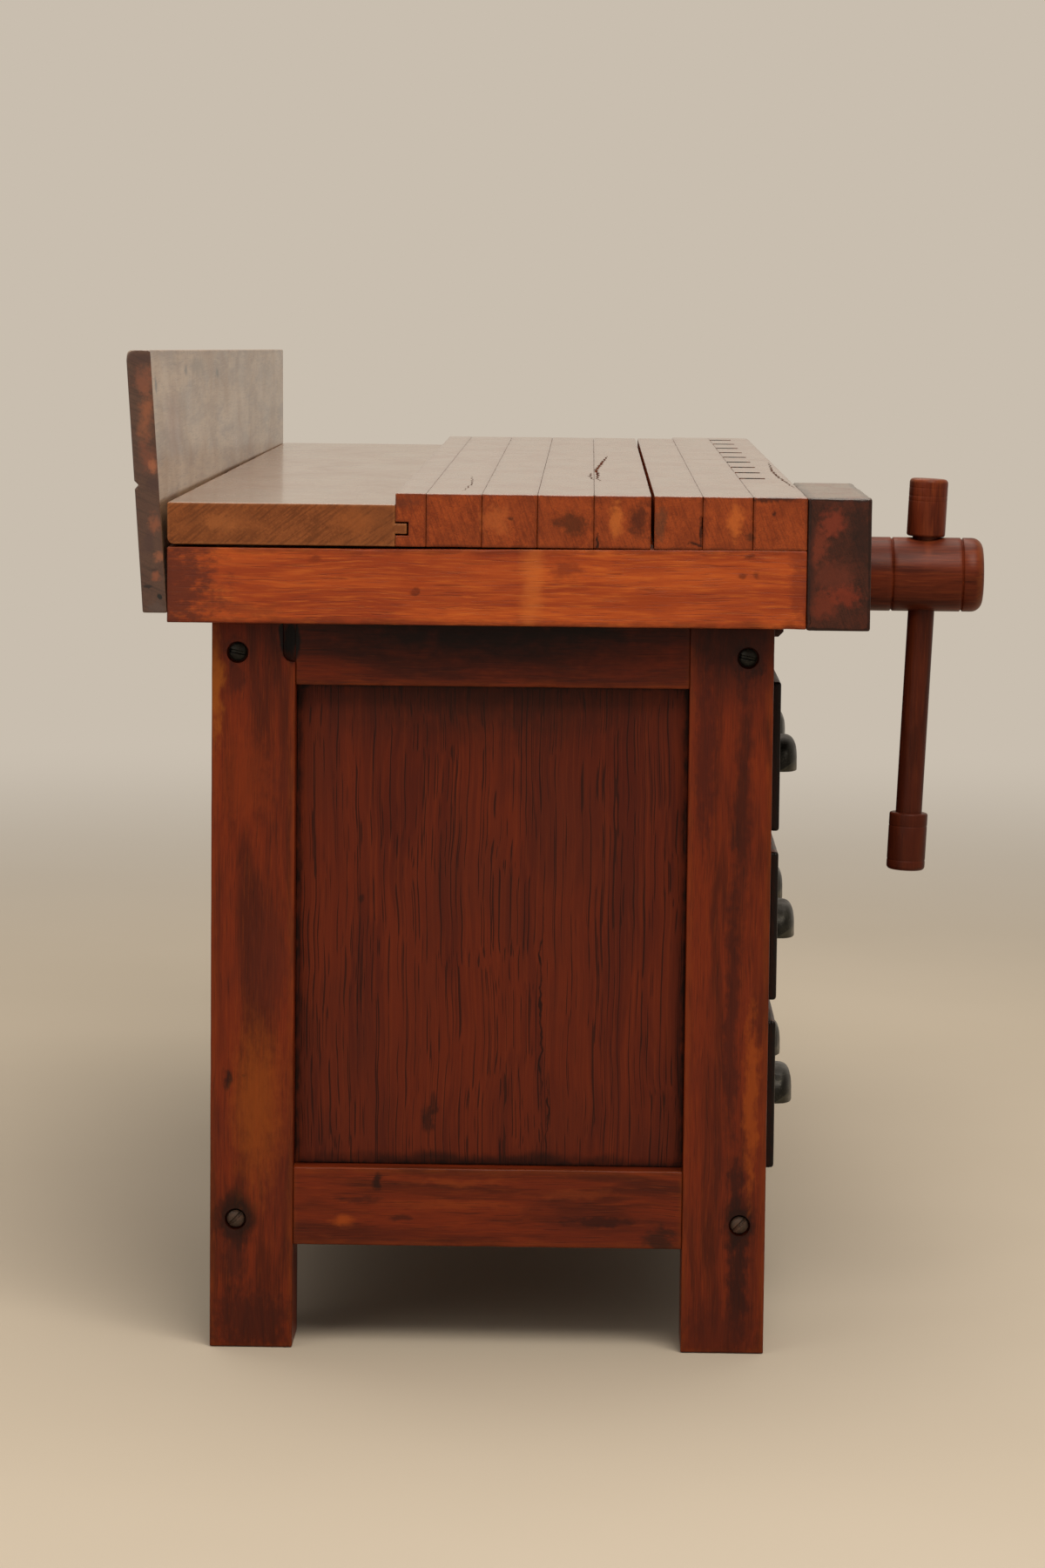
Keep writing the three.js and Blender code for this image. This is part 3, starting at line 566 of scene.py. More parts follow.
@dataclass(frozen=True)
class WoodFinish:
    """Sawn, planed and waxed wood: bands of figure, streaked fibres, pores, patina and worn arrises.

    Band, fibre and pore widths are real sizes in millimetres across the grain. The fibres and pores are
    drawn a little coarser than life, so that they show.
    """

    name: str
    deep: str
    body: str
    light: str
    patina: str
    pore: str
    worn: str
    cut: str
    grain: Axis = Axis.LENGTH
    band: float = 20.0
    fibre: float = 2.2
    blotch: float = 70.0
    patina_share: float = 0.5
    pores: float = 0.5
    pore_width: float = 1.1
    pore_long: float = 45
    pore_from: float = 0.6
    pore_edge: float = 0.08
    wear: float = 0.5
    cut_share: float = 0.5
    rough: tuple[float, float] = (0.38, 0.55)
    relief: float = 0.3
    gloss: float = 0.2
    figure: float = 0.5
    wander: float = 4.0
    ring_width: float = 1.7
    ring_slant: float = 70.0
    ring_share: float = 0.3
    wax: float = 0.0
    # upper: the upper face's tone, partly worn wood and partly a painted sheen
    upper: str = ""
    upper_from: float = 0.0
    upper_edge: float = 0.8
    stains: tuple[Stain, ...] = ()

    def along(self, grain: Axis) -> "WoodFinish":
        """The same finish on a board whose grain runs another way."""
        return replace(self, grain=grain)

    def streaks(self, tree: bpy.types.NodeTree, place: bpy.types.NodeSocket, width: float,
                stretch: float, detail: float, distortion: float = 0.0) -> bpy.types.NodeSocket:
        """Noise that is drawn out along the grain.

        Args:
            tree: where the nodes go.
            place: the coordinates.
            width: across the grain, in millimetres.
            stretch: how many times as long it is along the grain.
            detail: of the noise.
            distortion: of the noise.

        Returns:
            The noise, 0 to 1.
        """
        scale = np.full(3, 1 / (width * MM))
        scale[self.grain.value] /= stretch
        mapped = add_node(tree, "ShaderNodeMapping", {"Scale": tuple(scale)}, {"Vector": place})
        return add_node(tree, "ShaderNodeTexNoise", {
            "Scale": 1.0, "Detail": detail, "Roughness": 0.62, "Distortion": distortion,
        }, {"Vector": mapped.outputs[0]}).outputs[0]

    def rings(self, tree: bpy.types.NodeTree, place: bpy.types.NodeSocket,
              end: bpy.types.NodeSocket) -> bpy.types.NodeSocket:
        """Growth rings on end grain: noise ring_width thick and 14 times as long, turned by ring_slant.

        Args:
            tree: where the nodes go.
            place: the coordinates.
            end: one on end grain.

        Returns:
            The rings, 0 off the end grain.
        """
        slant = add_node(tree, "ShaderNodeMapping", {
            "vector_type": "TEXTURE", "Rotation": (math.radians(self.ring_slant), 0, 0),
            "Scale": (0.1, 14 * self.ring_width * MM, self.ring_width * MM)}, {"Vector": place})
        ring = add_node(tree, "ShaderNodeTexNoise", {"Scale": 1.0, "Detail": 3.0},
                        {"Vector": slant.outputs[0]})
        cut = add_node(tree, "ShaderNodeMath", {"operation": "MULTIPLY"}, {0: ring.outputs[0], 1: end})
        return cut.outputs[0]

    def stained(self, tree: bpy.types.NodeTree, place: bpy.types.NodeSocket, tear: bpy.types.NodeSocket,
                shade: bpy.types.NodeSocket) -> bpy.types.NodeSocket:
        """Paints every stain over the wood.

        A stain's pattern is the distance from its centre in radii plus torn times a noise, which tears
        its edge, on coordinates swayed by 8 mm.

        Args:
            tree: where the nodes go.
            place: Object coordinates.
            tear: the noise of the torn edge.
            shade: the colour of the wood.

        Returns:
            The colour with its stains.
        """
        near = swayed(tree, place, 28, 3.0, 8) if self.stains else place
        for stain in self.stains:
            scale = 1 / (np.asarray(stain.radii) * MM)
            mapped = add_node(tree, "ShaderNodeMapping", {
                "Scale": tuple(scale), "Location": tuple(-metres(stain.centre) * scale)},
                {"Vector": near})
            far = add_node(tree, "ShaderNodeVectorMath", {"operation": "LENGTH"}, {0: mapped.outputs[0]})
            torn = add_node(tree, "ShaderNodeMath", {"operation": "MULTIPLY_ADD", 1: stain.torn},
                            {0: tear, 2: far.outputs[1]})
            shade = painted(tree, shade, stain.colour, torn.outputs[0], 1 + stain.torn / 2,
                            stain.core + stain.torn / 2, stain.strength)
        return shade

    def material(self) -> bpy.types.Material:
        """Makes the material, once for each grain direction.

        Returns:
            The material.
        """
        name = f"{self.name}_{self.grain.name.lower()}"
        if name in bpy.data.materials:
            return bpy.data.materials[name]
        made, tree, place = new_material(name)
        edge, end, stave = (add_node(tree, "ShaderNodeAttribute", {"attribute_name": n}).outputs["Fac"]
                            for n in ("edge", "end", "stave"))
        shift = add_node(tree, "ShaderNodeVectorMath", {"operation": "MULTIPLY", 1: (1.7, 2.9, 4.3)},
                         {0: stave})
        apart = add_node(tree, "ShaderNodeVectorMath", {"operation": "ADD"},
                         {0: place, 1: shift.outputs[0]})
        own = swayed(tree, apart.outputs[0], 130, 2.0, self.wander)
        band = self.streaks(tree, own, self.band, 9, 3, 0.7)
        fibre = self.streaks(tree, own, self.fibre, self.pore_long / 2, 4)
        blotch = self.streaks(tree, own, self.blotch, 2.0, 4, 0.4)
        pores = self.streaks(tree, own, self.pore_width, self.pore_long, 1)
        rub = self.streaks(tree, own, 9.0, 2.5, 3)
        tear = self.streaks(tree, own, 6.0, 2.0, 5)
        ring = self.rings(tree, own, end)
        worn = add_node(tree, "ShaderNodeMath", {"operation": "MULTIPLY"}, {0: edge, 1: rub}).outputs[0]
        pore_full = self.pore_from + self.pore_edge

        # Each layer: its colour, its pattern, where the pattern starts and is full, and its share
        layers = [
            (self.body, band, 0.34, 0.60, 1.0),
            (self.light, fibre, 0.48, 0.70, self.figure),
            (self.deep, fibre, 0.50, 0.28, self.figure),
            (self.patina, blotch, 0.46, 0.66, self.patina_share),
            (self.cut, end, 0.2, 0.9, self.cut_share),
            (self.pore, pores, self.pore_from, pore_full, self.pores),
            # arris colour: wear; on the panels and the bearers partly painted shade where they meet other
            # parts
            (self.worn, worn, 0.16, 0.62, self.wear),
            (self.pore, ring, 0.46, 0.66, self.ring_share),
            # painted shade: black deep in bored hollows, where the end mark falls below zero
            (DIRT_AND_SHADE, end, -0.1, -0.8, 0.96)]
        waxed = {}
        if self.upper:
            level = add_node(tree, "ShaderNodeSeparateXYZ", None, {0: place}).outputs[2]
            start, full = self.upper_from * MM, (self.upper_from + self.upper_edge) * MM
            # the upper face's tone: partly worn wood, partly a painted sheen of a low view
            layers.insert(2, (self.upper, level, start, full, 0.8))
            waxed["Coat Weight"] = add_node(tree, "ShaderNodeMapRange", {
                "From Min": start, "From Max": full, "To Max": self.wax}, {"Value": level}).outputs[0]
        shade = self.deep
        for layer in layers:
            shade = painted(tree, shade, *layer)
        shade = self.stained(tree, place, tear, shade)

        pit = add_node(tree, "ShaderNodeMapRange", {
            "From Min": self.pore_from, "From Max": pore_full, "To Max": -0.7}, {"Value": pores})
        height = add_node(tree, "ShaderNodeMath", {"operation": "ADD"}, {0: fibre, 1: pit.outputs[0]})
        bump = add_node(tree, "ShaderNodeBump", {"Strength": 0.6, "Distance": self.relief * MM},
                        {"Height": height.outputs[0]})
        rough = add_node(tree, "ShaderNodeMapRange", {
            "From Min": 0.3, "From Max": 0.7, "To Min": self.rough[0], "To Max": self.rough[1]},
            {"Value": blotch})
        shader = add_node(tree, "ShaderNodeBsdfPrincipled", {
            "Specular IOR Level": self.gloss, "Coat Weight": self.wax, "Coat Roughness": 0.14}, {
            "Base Color": shade, "Roughness": rough.outputs[0], "Normal": bump.outputs[0], **waxed})
        add_node(tree, "ShaderNodeOutputMaterial", None, {"Surface": shader.outputs[0]})
        return made


@dataclass(frozen=True)
class MetalFinish:
    """Bare or japanned metal: a base colour that varies by patches, with fine pits or drawn lines.

    Patch and pit sizes are in millimetres. The pits are drawn coarser than life, so that they show.
    """

    name: str
    body: str
    patch: str
    light: str
    metallic: float
    rough: tuple[float, float]
    patch_size: float = 14.0
    pit: float = 1.4
    relief: float = 0.25
    stretch: tuple[float, float, float] = (1.0, 1.0, 1.0)

    def material(self) -> bpy.types.Material:
        """Makes the material, once.

        Returns:
            The material.
        """
        if self.name in bpy.data.materials:
            return bpy.data.materials[self.name]
        made, tree, place = new_material(self.name)
        edge = add_node(tree, "ShaderNodeAttribute", {"attribute_name": "edge"}).outputs["Fac"]
        pulled = add_node(tree, "ShaderNodeMapping", {"Scale": self.stretch}, {"Vector": place})
        patch, pits = (add_node(tree, "ShaderNodeTexNoise", {"Scale": 1 / (size * MM), "Detail": detail},
                                {"Vector": pulled.outputs[0]}).outputs[0]
                       for size, detail in ((self.patch_size, 4.0), (self.pit, 3.0)))
        shade = self.body
        for layer in ((self.patch, patch, 0.46, 0.64, 0.8), (self.light, pits, 0.56, 0.74, 0.35),
                      (self.light, edge, 0.3, 1.0, 0.6)):
            shade = painted(tree, shade, *layer)
        bump = add_node(tree, "ShaderNodeBump", {"Strength": 0.5, "Distance": self.relief * MM},
                        {"Height": pits})
        rough = add_node(tree, "ShaderNodeMapRange", {
            "From Min": 0.35, "From Max": 0.65, "To Min": self.rough[0], "To Max": self.rough[1]},
            {"Value": patch})
        shader = add_node(tree, "ShaderNodeBsdfPrincipled", {"Metallic": self.metallic}, {
            "Base Color": shade, "Roughness": rough.outputs[0], "Normal": bump.outputs[0]})
        add_node(tree, "ShaderNodeOutputMaterial", None, {"Surface": shader.outputs[0]})
        return made


# Maple strips and staves of the top, oiled and handled for years: orange-brown ends mottled with dark,
# and a waxed upper face with a sheen at a low angle, its grey-brown partly worn wood and partly a painted
# sheen; painted shade in the dog holes
TOP_MAPLE = WoodFinish(
    "oiled_maple", deep="#6a2a12", body="#8a3d1b", light="#a4511f", patina="#5e2813",
    pore="#3a150a", worn="#54240f", cut="#873b18", band=16, fibre=1.8, blotch=46, patina_share=0.45,
    pores=0.45, wear=0.5, cut_share=0.35, rough=(0.22, 0.34), relief=0.03, gloss=0.2, wax=0.9,
    upper="#665240", upper_from=838.6, stains=(
        Stain((0, 226, 814), (6, 24, 15), "#44200f", 0.8),
        Stain((0, 160, 815), (6, 12, 24), "#3f1c10", 0.75),
        Stain((0, 141, 812), (6, 8, 24), "#4a3020", 0.6),
        Stain((0, 182, 816), (6, 11, 24), "#b4622a", 0.6),
        Stain((0, 68, 816), (6, 10, 24), "#b25c26", 0.6),
        Stain((0, 297, 816), (6, 20, 22), "#a8582a", 0.45),
        Stain((0, 55, 803), (5, 6, 6), "#45200f", 0.8),
        Stain((0, 35, 824), (4, 3, 3), "#35150b", 0.9),
        Stain((0, 283, 817), (4, 3, 3), "#35150b", 0.85),
        Stain((0, 386, 832), (6, 18, 10), "#4a2418", 0.6),
        Stain((0, 202, 796), (5, 2, 12), "#120704", 0.95),
        Stain((0, 107, 793), (5, 10, 3), "#120704", 0.9),
        Stain((0, 30, 838), (8, 34, 5), "#2c140c", 0.8),
        Stain((0, 101, 806), (6, 2, 20), "#120704", 0.8),
        # painted shade in the dog holes
        *FRONT_HOLES.hole_shade(), *TAIL_HOLES.hole_shade()))
# Tray board, a paler oiled plank with slanting end grain, its grey-brown upper face partly a painted
# sheen
TRAY_PLANK = WoodFinish(
    "oiled_tray_plank", deep="#653619", body="#7c4522", light="#925429", patina="#5f381e",
    pore="#4a2611", worn="#8a5630", cut="#7c4524", band=26, fibre=2.4, blotch=80, patina_share=0.45,
    pores=0.35, cut_share=0.3, ring_width=2.2, ring_slant=-38, ring_share=0.45, rough=(0.22, 0.34),
    relief=0.03, gloss=0.2, wax=0.8, upper="#6a5542", upper_from=827.6, stains=(
        Stain((0, 432, 812), (8, 26, 14), "#8e4f26", 0.5),
        Stain((0, 470, 806), (8, 5, 20), "#5c3218", 0.5),
        Stain((0, 560, 810), (8, 30, 12), "#95582e", 0.45)))
# Backboard, old waxed pine gone grey-brown on its face, with dark end grain that shows red in places
GREY_BOARD = WoodFinish(
    "weathered_pine", deep="#6e5544", body="#967b61", light="#ae967a", patina="#806248",
    pore="#241610", worn="#4a2e20", cut="#42281f", band=30, fibre=2.6, blotch=90, patina_share=0.55,
    pores=0.4, cut_share=0.92, wear=0.5, rough=(0.26, 0.4), relief=0.06, gloss=0.4, wax=0.3,
    figure=0.35, ring_width=2.4, ring_slant=24, ring_share=0.4, stains=(
        Stain((0, 634, 944), (5, 14, 20), "#74432f", 0.75),
        Stain((0, 634, 966), (5, 14, 8), "#3c2622", 0.7),
        Stain((0, 631, 910), (5, 12, 34), "#804a2f", 0.85, 0.2, 1.1),
        Stain((0, 630, 872), (5, 11, 22), "#703d29", 0.8, 0.2, 1.1),
        Stain((0, 624, 862), (5, 7, 8), "#94583a", 0.75),
        Stain((0, 622, 846), (5, 12, 9), "#3a2420", 0.7),
        Stain((0, 622, 808), (5, 9, 12), "#80482e", 0.75),
        Stain((0, 628, 790), (5, 8, 16), "#3e2823", 0.7),
        Stain((0, 618, 776), (5, 9, 9), "#8a5236", 0.75),
        Stain((0, 620, 758), (5, 8, 7), "#80462c", 0.7),
        Stain((0, 620, 724), (5, 14, 14), "#4a3a34", 0.7),
        Stain((0, 617, 738), (4, 3.6, 3.6), "#060302", 1.0, 0.5),
        Stain((0, 628, 747), (4, 8, 2.6), "#120806", 0.9),
        Stain((0, 622, 764), (4, 14, 2.0), "#120806", 0.8),
        Stain((34, 626, 940), (14, 12, 12), "#1c120c", 0.85),
        Stain((346, 624, 948), (24, 12, 7), "#1e140e", 0.85),
        Stain((470, 623, 950), (110, 12, 12), "#463628", 0.6),
        Stain((708, 620, 938), (30, 12, 7), "#1e140e", 0.85),
        Stain((190, 622, 900), (120, 14, 50), "#6e3e24", 0.6, 0.1, 1.3),
        Stain((1000, 616, 862), (170, 14, 40), "#6e4a2e", 0.5, 0.1, 1.3)))
# Bearers, shellacked hardwood of a clear orange-brown with long fibres, their dark arrises partly wear
# and partly painted shade where they meet the top
BEARER_WOOD = WoodFinish(
    "shellacked_birch", deep="#843314", body="#a4491b", light="#ba6224", patina="#8a3714",
    # worn: dark arrises, partly wear and partly painted shade in the joint with the top
    pore="#5a1e0a", worn="#471a0a", cut="#8a3a18", grain=Axis.DEPTH, band=22, fibre=1.8, blotch=60,
    patina_share=0.5, pores=0.5, rough=(0.32, 0.46), relief=0.2, stains=(
        Stain((0, 612, 748), (8, 72, 80), "#4e2115", 0.88),
        Stain((0, 540, 728), (8, 60, 10), "#6a2c14", 0.5),
        Stain((0, 262, 752), (8, 16, 90), "#b8642a", 0.42, 0.2, 0.8),
        Stain((0, 229, 767), (8, 20, 13), "#6e2a12", 0.7),
        Stain((0, 372, 749), (5, 6, 5), "#2a0e06", 0.95, 0.5),
        Stain((0, 373, 753), (8, 22, 10), "#8a3512", 0.6),
        Stain((0, 55, 781), (6, 8, 5), "#4a1c0c", 0.75),
        Stain((0, 64, 764), (6, 7, 4), "#54200c", 0.7),
        Stain((0, 49, 764), (6, 6, 4), "#54200c", 0.7),
        Stain((0, 470, 776), (6, 9, 5), "#6a280e", 0.6),
        Stain((0, 150, 740), (8, 40, 14), "#86340f", 0.5),
        Stain((0, 5, 755), (8, 15, 60), "#6a2812", 0.65)))
# Legs and rails, shellacked hardwood of a deep red-brown, orange where hands and feet rub it, with
# painted shadow under the near bearer on the near end's top rail and leg tops, and painted shade in the
# hollow at the back leg's top
FRAME_WOOD = WoodFinish(
    "shellacked_red_hardwood", deep="#441607", body="#66230b", light="#7d340d", patina="#44160b",
    pore="#2c0e05", worn="#86400f", cut="#4a1a0a", grain=Axis.HEIGHT, band=24, fibre=1.5,
    blotch=120, patina_share=0.38, pores=0.45, wear=0.18, rough=(0.32, 0.46), relief=0.12,
    gloss=0.16, figure=0.3, stains=(
        Stain((40, 546, 683), (12, 15, 17), "#160a06", 0.6),
        Stain((40, 548, 660), (12, 14, 30), "#2e100a", 0.6),
        Stain((40, 546, 128), (12, 25, 36), "#140804", 0.9, 0.42, 0.6),
        Stain((40, 549, 90), (12, 16, 46), "#2e110b", 0.6),
        Stain((40, 53, 680), (12, 18, 26), "#120705", 0.7),
        Stain((40, 53, 128), (12, 22, 36), "#140704", 0.9, 0.42, 0.6),
        Stain((40, 58, 165), (12, 9, 44), "#220c08", 0.75),
        Stain((40, 53, 70), (12, 14, 74), "#220c08", 0.8),
        Stain((40, 64, 330), (12, 10, 190), "#300f09", 0.65),
        Stain((40, 44, 250), (12, 10, 120), "#8c4010", 0.6),
        # painted shadow under the bearer at the top of the front leg
        Stain((40, 62, 712), (12, 70, 96), "#1c0a06", 0.72, 0.2, 0.5),
        Stain((40, 55, 545), (12, 13, 190), "#260d08", 0.72, 0.2, 0.7),
        Stain((40, 92, 590), (12, 14, 130), "#34100a", 0.6),
        Stain((40, 555, 266), (8, 6, 15), "#1e0a06", 0.92, 0.4),
        Stain((40, 539, 271), (5, 3, 3), "#180804", 0.95, 0.5),
        Stain((40, 526, 240), (24, 36, 120), "#8a4210", 0.6, 0.1, 0.9),
        Stain((40, 568, 655), (10, 12, 80), "#8e4c14", 0.75, 0.1),
        Stain((40, 540, 560), (30, 40, 60), "#742c0c", 0.45),
        Stain((40, 515, 380), (30, 30, 70), "#4a1a0e", 0.5),
        Stain((40, 530, 26), (24, 60, 46), "#34120a", 0.75),
        Stain((40, 70, 20), (24, 60, 40), "#3c140b", 0.6),
        Stain((43, 409, 165), (10, 6, 12), "#1c0a06", 0.85),
        Stain((43, 425, 147), (10, 30, 5), "#2e100a", 0.6),
        Stain((43, 441, 127), (10, 18, 8), "#9a4612", 0.55, 0.1, 0.9),
        Stain((43, 385, 130), (10, 16, 5), "#2a0f08", 0.6),
        Stain((43, 330, 166), (10, 70, 5), "#803812", 0.42, 0.1, 1.2),
        Stain((43, 330, 143), (10, 110, 7), "#803812", 0.36, 0.1, 1.3),
        Stain((43, 210, 156), (10, 60, 6), "#7c3614", 0.36, 0.1, 1.3),
        Stain((43, 190, 128), (10, 52, 7), "#260d08", 0.7),
        Stain((43, 130, 112), (10, 22, 18), "#20120c", 0.75),
        # painted shadow of the bearer over the top rail and the legs' tops
        Stain((43, 300, 726), (10, 320, 92), "#0a0302", 0.95, 0.28, 0.3),
        # painted shade in the hollow at the back leg's top inner corner
        Stain((43, 496, 697), (20, 13, 24), "#050201", 0.97, 0.75, 0.2)))
# Panels, red-brown oak with long open pores, dark where it meets the frame, partly dirt and partly
# painted shade of the recess, and darker at the top with a painted shadow of the top
PANEL_OAK = WoodFinish(
    "shellacked_oak_panel", deep="#46160a", body="#5a1f0c", light="#6b2a10", patina="#481a0c",
    # worn: dark arrises, partly dirt and partly painted shade where the panel meets the frame
    pore="#170805", worn="#160704", cut="#3c140a", grain=Axis.HEIGHT, band=30, fibre=2.4,
    blotch=120, patina_share=0.45, pores=0.72, pore_width=1.9, pore_long=190, pore_from=0.57,
    wear=0.97, rough=(0.36, 0.5), relief=0.3, gloss=0.14, figure=0.4, wander=6.0, stains=(
        Stain((65, 359, 224), (8, 9, 20), "#1e0c07", 0.75),
        Stain((65, 354, 238), (8, 5, 14), "#1e0c07", 0.6),
        Stain((65, 250, 330), (6, 1.6, 130), "#0e0503", 0.85),
        Stain((65, 244, 230), (6, 1.4, 46), "#0e0503", 0.85),
        Stain((65, 425, 440), (6, 5, 5), "#220d08", 0.7),
        # painted shadow of the top over the panel's upper part
        Stain((65, 300, 656), (8, 250, 90), "#241009", 0.7, 0.1, 0.5),
        Stain((65, 300, 182), (8, 240, 13), "#140805", 0.75, 0.3, 0.4)))
# Jaws, wood blackened by hands, with the red still showing in patches, grey-brown on top, partly a
# painted sheen
JAW_WOOD = WoodFinish(
    "handled_dark_hardwood", deep="#2a150e", body="#402016", light="#54281a", patina="#562414",
    pore="#140a07", worn="#140b08", cut="#3a1e15", band=20, fibre=2.0, blotch=34, patina_share=0.5,
    pores=0.4, wear=0.7, cut_share=0.4, rough=(0.3, 0.42), relief=0.08, gloss=0.2, wax=0.5,
    upper="#5e4c3d", upper_from=838.0, stains=(
        Stain((0, -24, 817), (8, 16, 18), "#7a3220", 0.6),
        Stain((0, -12, 795), (8, 14, 28), "#70301e", 0.6),
        Stain((0, -24, 764), (8, 26, 24), "#5e2a1c", 0.55),
        Stain((0, -36, 746), (8, 22, 14), "#742c1a", 0.6),
        Stain((0, -16, 736), (8, 16, 18), "#6c2c1a", 0.55),
        Stain((0, -52, 806), (8, 16, 40), "#1e1310", 0.6),
        Stain((0, -4, 776), (8, 6, 70), "#1e1310", 0.6)))
# Screws, handles and knobs, turned and polished by use to a dark red-brown, with a painted orange
# highlight across the upper middle of the front hub
TURNED_WOOD = WoodFinish(
    "turned_dark_hardwood", deep="#3c160b", body="#5c2513", light="#7e3c1c", patina="#481a0d",
    pore="#220c06", worn="#7c4424", cut="#4e2012", band=18, fibre=1.8, blotch=44, patina_share=0.5,
    pores=0.28, wear=0.35, cut_share=0.2, rough=(0.32, 0.44), relief=0.06, gloss=0.1, figure=0.36,
    stains=(
        Stain((170, -118, 585), (70, 60, 190), "#2c110a", 0.55, 0.6, 0.4),
        # painted highlight on the front hub
        Stain((170, -125, 790), (50, 8, 60), "#7e3c20", 0.35, 0.2, 0.8)))
# Drawer fronts, the frame's wood, black on the lips' arrises and end grain
DRAWER_WOOD = replace(
    FRAME_WOOD, name="shellacked_drawer_front", grain=Axis.LENGTH, worn=DIRT_AND_SHADE, wear=0.98, cut=DIRT_AND_SHADE,
    cut_share=0.95, stains=())
# Case boards, drawer boxes and garter keys, bare pine: pale yellow-brown, dry and without sheen
BARE_PINE = WoodFinish(
    "bare_pine", deep="#7c5636", body="#9a7048", light="#b48c60", patina="#84603f", pore="#5c3c22",
    worn="#8a6644", cut="#8a6440", band=18, fibre=2.4, blotch=90, patina_share=0.5, pores=0.3,
    rough=(0.55, 0.7))
# Pulls and high bolt heads, black japanned casting rubbed to a grey-green sheen; on the high bolt heads
# the black is partly painted shade under the bearer
CAST_IRON = MetalFinish(
    "japanned_cast_iron", body="#16140f", patch="#25231c", light="#5a584c", metallic=0.7,
    rough=(0.32, 0.5))
# Low bolt heads, bare iron gone brown with rust
RUSTED_IRON = MetalFinish(
    "rusted_iron", body="#38271b", patch="#4c3020", light="#685442", metallic=0.2, rough=(0.5, 0.7),
    patch_size=5.0, pit=1.0, relief=0.3)
# Guide rods, drawn bar gone dull, with fine lines along it
DRAWN_STEEL = MetalFinish(
    "drawn_steel_bar", body="#77746e", patch="#5c554c", light="#9a968e", metallic=1.0, rough=(0.3, 0.45),
    patch_size=22.0, pit=0.8, relief=0.1, stretch=(1, 0.05, 1))

Finish = WoodFinish | MetalFinish


# Pieces

TOP = 840  # the bench's working height
UNDER = 789  # underside of the top
LEG_TOP = 714  # where the bearers rest on the legs
TOP_END = 1690  # far end of the slab
TAIL_START = 965  # where the tail vise parts the front strip
NEAR_RAIL, FAR_RAIL = 121, 1229  # inner faces of the near and far legs
BASE_FRONT = 28  # front face of the legs
STRIP_SEAM = 52  # seam between the two laminations of the front strip and the tail block


def skin(name: str, surface: Surface) -> bpy.types.Object:
    """Puts a surface and its marks into a new object at the origin.

    Args:
        name: of the object.
        surface: in bench millimetres.

    Returns:
        The object, linked to the scene.
    """
    mesh = bpy.data.meshes.new(name)
    faces = surface.quads.tolist() + [cap.tolist() for cap in surface.caps]
    mesh.from_pydata(metres(surface.points).tolist(), [], faces)
    first = np.concatenate([surface.quads[:, 0], np.array([cap[0] for cap in surface.caps], int)])
    for mark, domain, values in (("edge", "POINT", surface.edge), ("end", "POINT", surface.end),
                                 ("stave", "FACE", surface.stave[first])):
        kept = mesh.attributes.new(mark, "FLOAT", domain)
        kept.data.foreach_set("value", np.ascontiguousarray(values, np.float32))
    piece = bpy.data.objects.new(name, mesh)
    bpy.context.scene.collection.objects.link(piece)
    return piece


def bore(piece: bpy.types.Object, tool: Surface) -> None:
    """Cuts a closed surface out of a piece, keeps only the result and marks its walls as a hollow, where
    the wood finishes paint shade.

    Args:
        piece: what is cut.
        tool: the hollow's skin.
    """
    tool.end = np.full(len(tool.points), -1.0)
    cutter = skin("cutter", tool)
    change = piece.modifiers.new("bore", "BOOLEAN")
    change.operation, change.solver, change.object = "DIFFERENCE", "EXACT", cutter
    bpy.context.view_layer.update()
    before = piece.data
    piece.data = bpy.data.meshes.new_from_object(
        piece.evaluated_get(bpy.context.evaluated_depsgraph_get()))
    piece.modifiers.clear()
    bpy.data.meshes.remove(before)
    bpy.data.objects.remove(cutter)


def dress(piece: bpy.types.Object, finish: Finish, body: str, nodes: Sequence[str] = (),
          crisp: float = 38.0) -> None:
    """Gives a piece its finish, lets it ride on a body and hides the CAD nodes that it stands for.

    Args:
        piece: the new piece.
        finish: what it is made of.
        body: that it moves with.
        nodes: that it replaces.
        crisp: angle in degrees from which an edge stays sharp.
    """
    piece.data.materials.clear()
    piece.data.materials.append(finish.material())
    piece.data.shade_smooth()
    piece.data.set_sharp_from_angle(angle=math.radians(crisp))
    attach(piece, body)
    if nodes:
        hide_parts(*nodes)
    LOG.info("%s: %d faces on %s", piece.name, len(piece.data.polygons), body)


def finish_node(finish: Finish, *nodes: str) -> None:
    """Gives CAD nodes that stay as they are a finish in their own slot.

    Args:
        finish: what they are made of.
        nodes: their names.
    """
    for node in nodes:
        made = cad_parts[node].data.materials
        made.clear()
        made.append(finish.material())
        LOG.info("%s: kept", node)


def crack(path: Sequence[tuple[float, float]], wide: float, deep: float, seed: int) -> Surface:
    """The hollow of a crack in the top's upper face.

    A wedge of four corners is carried along the length, its middle on the path plus a ripple. Its width
    and depth follow the square root of a sine, so it tapers to nothing at both ends.

    Args:
        path: x and y of points along the crack.
        wide: its width at the middle.
        deep: its depth at the middle.
        seed: of the ripple.

    Returns:
        The closed skin of the hollow.
    """
    rng = np.random.default_rng(seed)
    x, y = np.array(path, float).T
    places = np.arange(x[0], x[-1], 5.0)
    middle = np.interp(places, x, y) + 1.3 * ripple(rng, places, (61, 29, 17))
    middle += 0.8 * rng.uniform(-1, 1, len(places))
    share = np.sin(np.pi * np.linspace(0.02, 0.98, len(places))) ** 0.5
    half = wide / 2 * share * (0.75 + 0.5 * ripple(rng, places, (43, 23)) ** 2) + 0.15
    foot, over = TOP - deep * share - 0.2, TOP + 2
    rings = sections(
        places, (places, middle - 0.2 * half, foot), (places, middle + 0.2 * half, foot),
        (places, middle + 1.4 * half, over), (places, middle - 1.4 * half, over))
    plain = np.zeros(rings.shape[:2])
    return lofted(rings, plain, plain, 0.5)


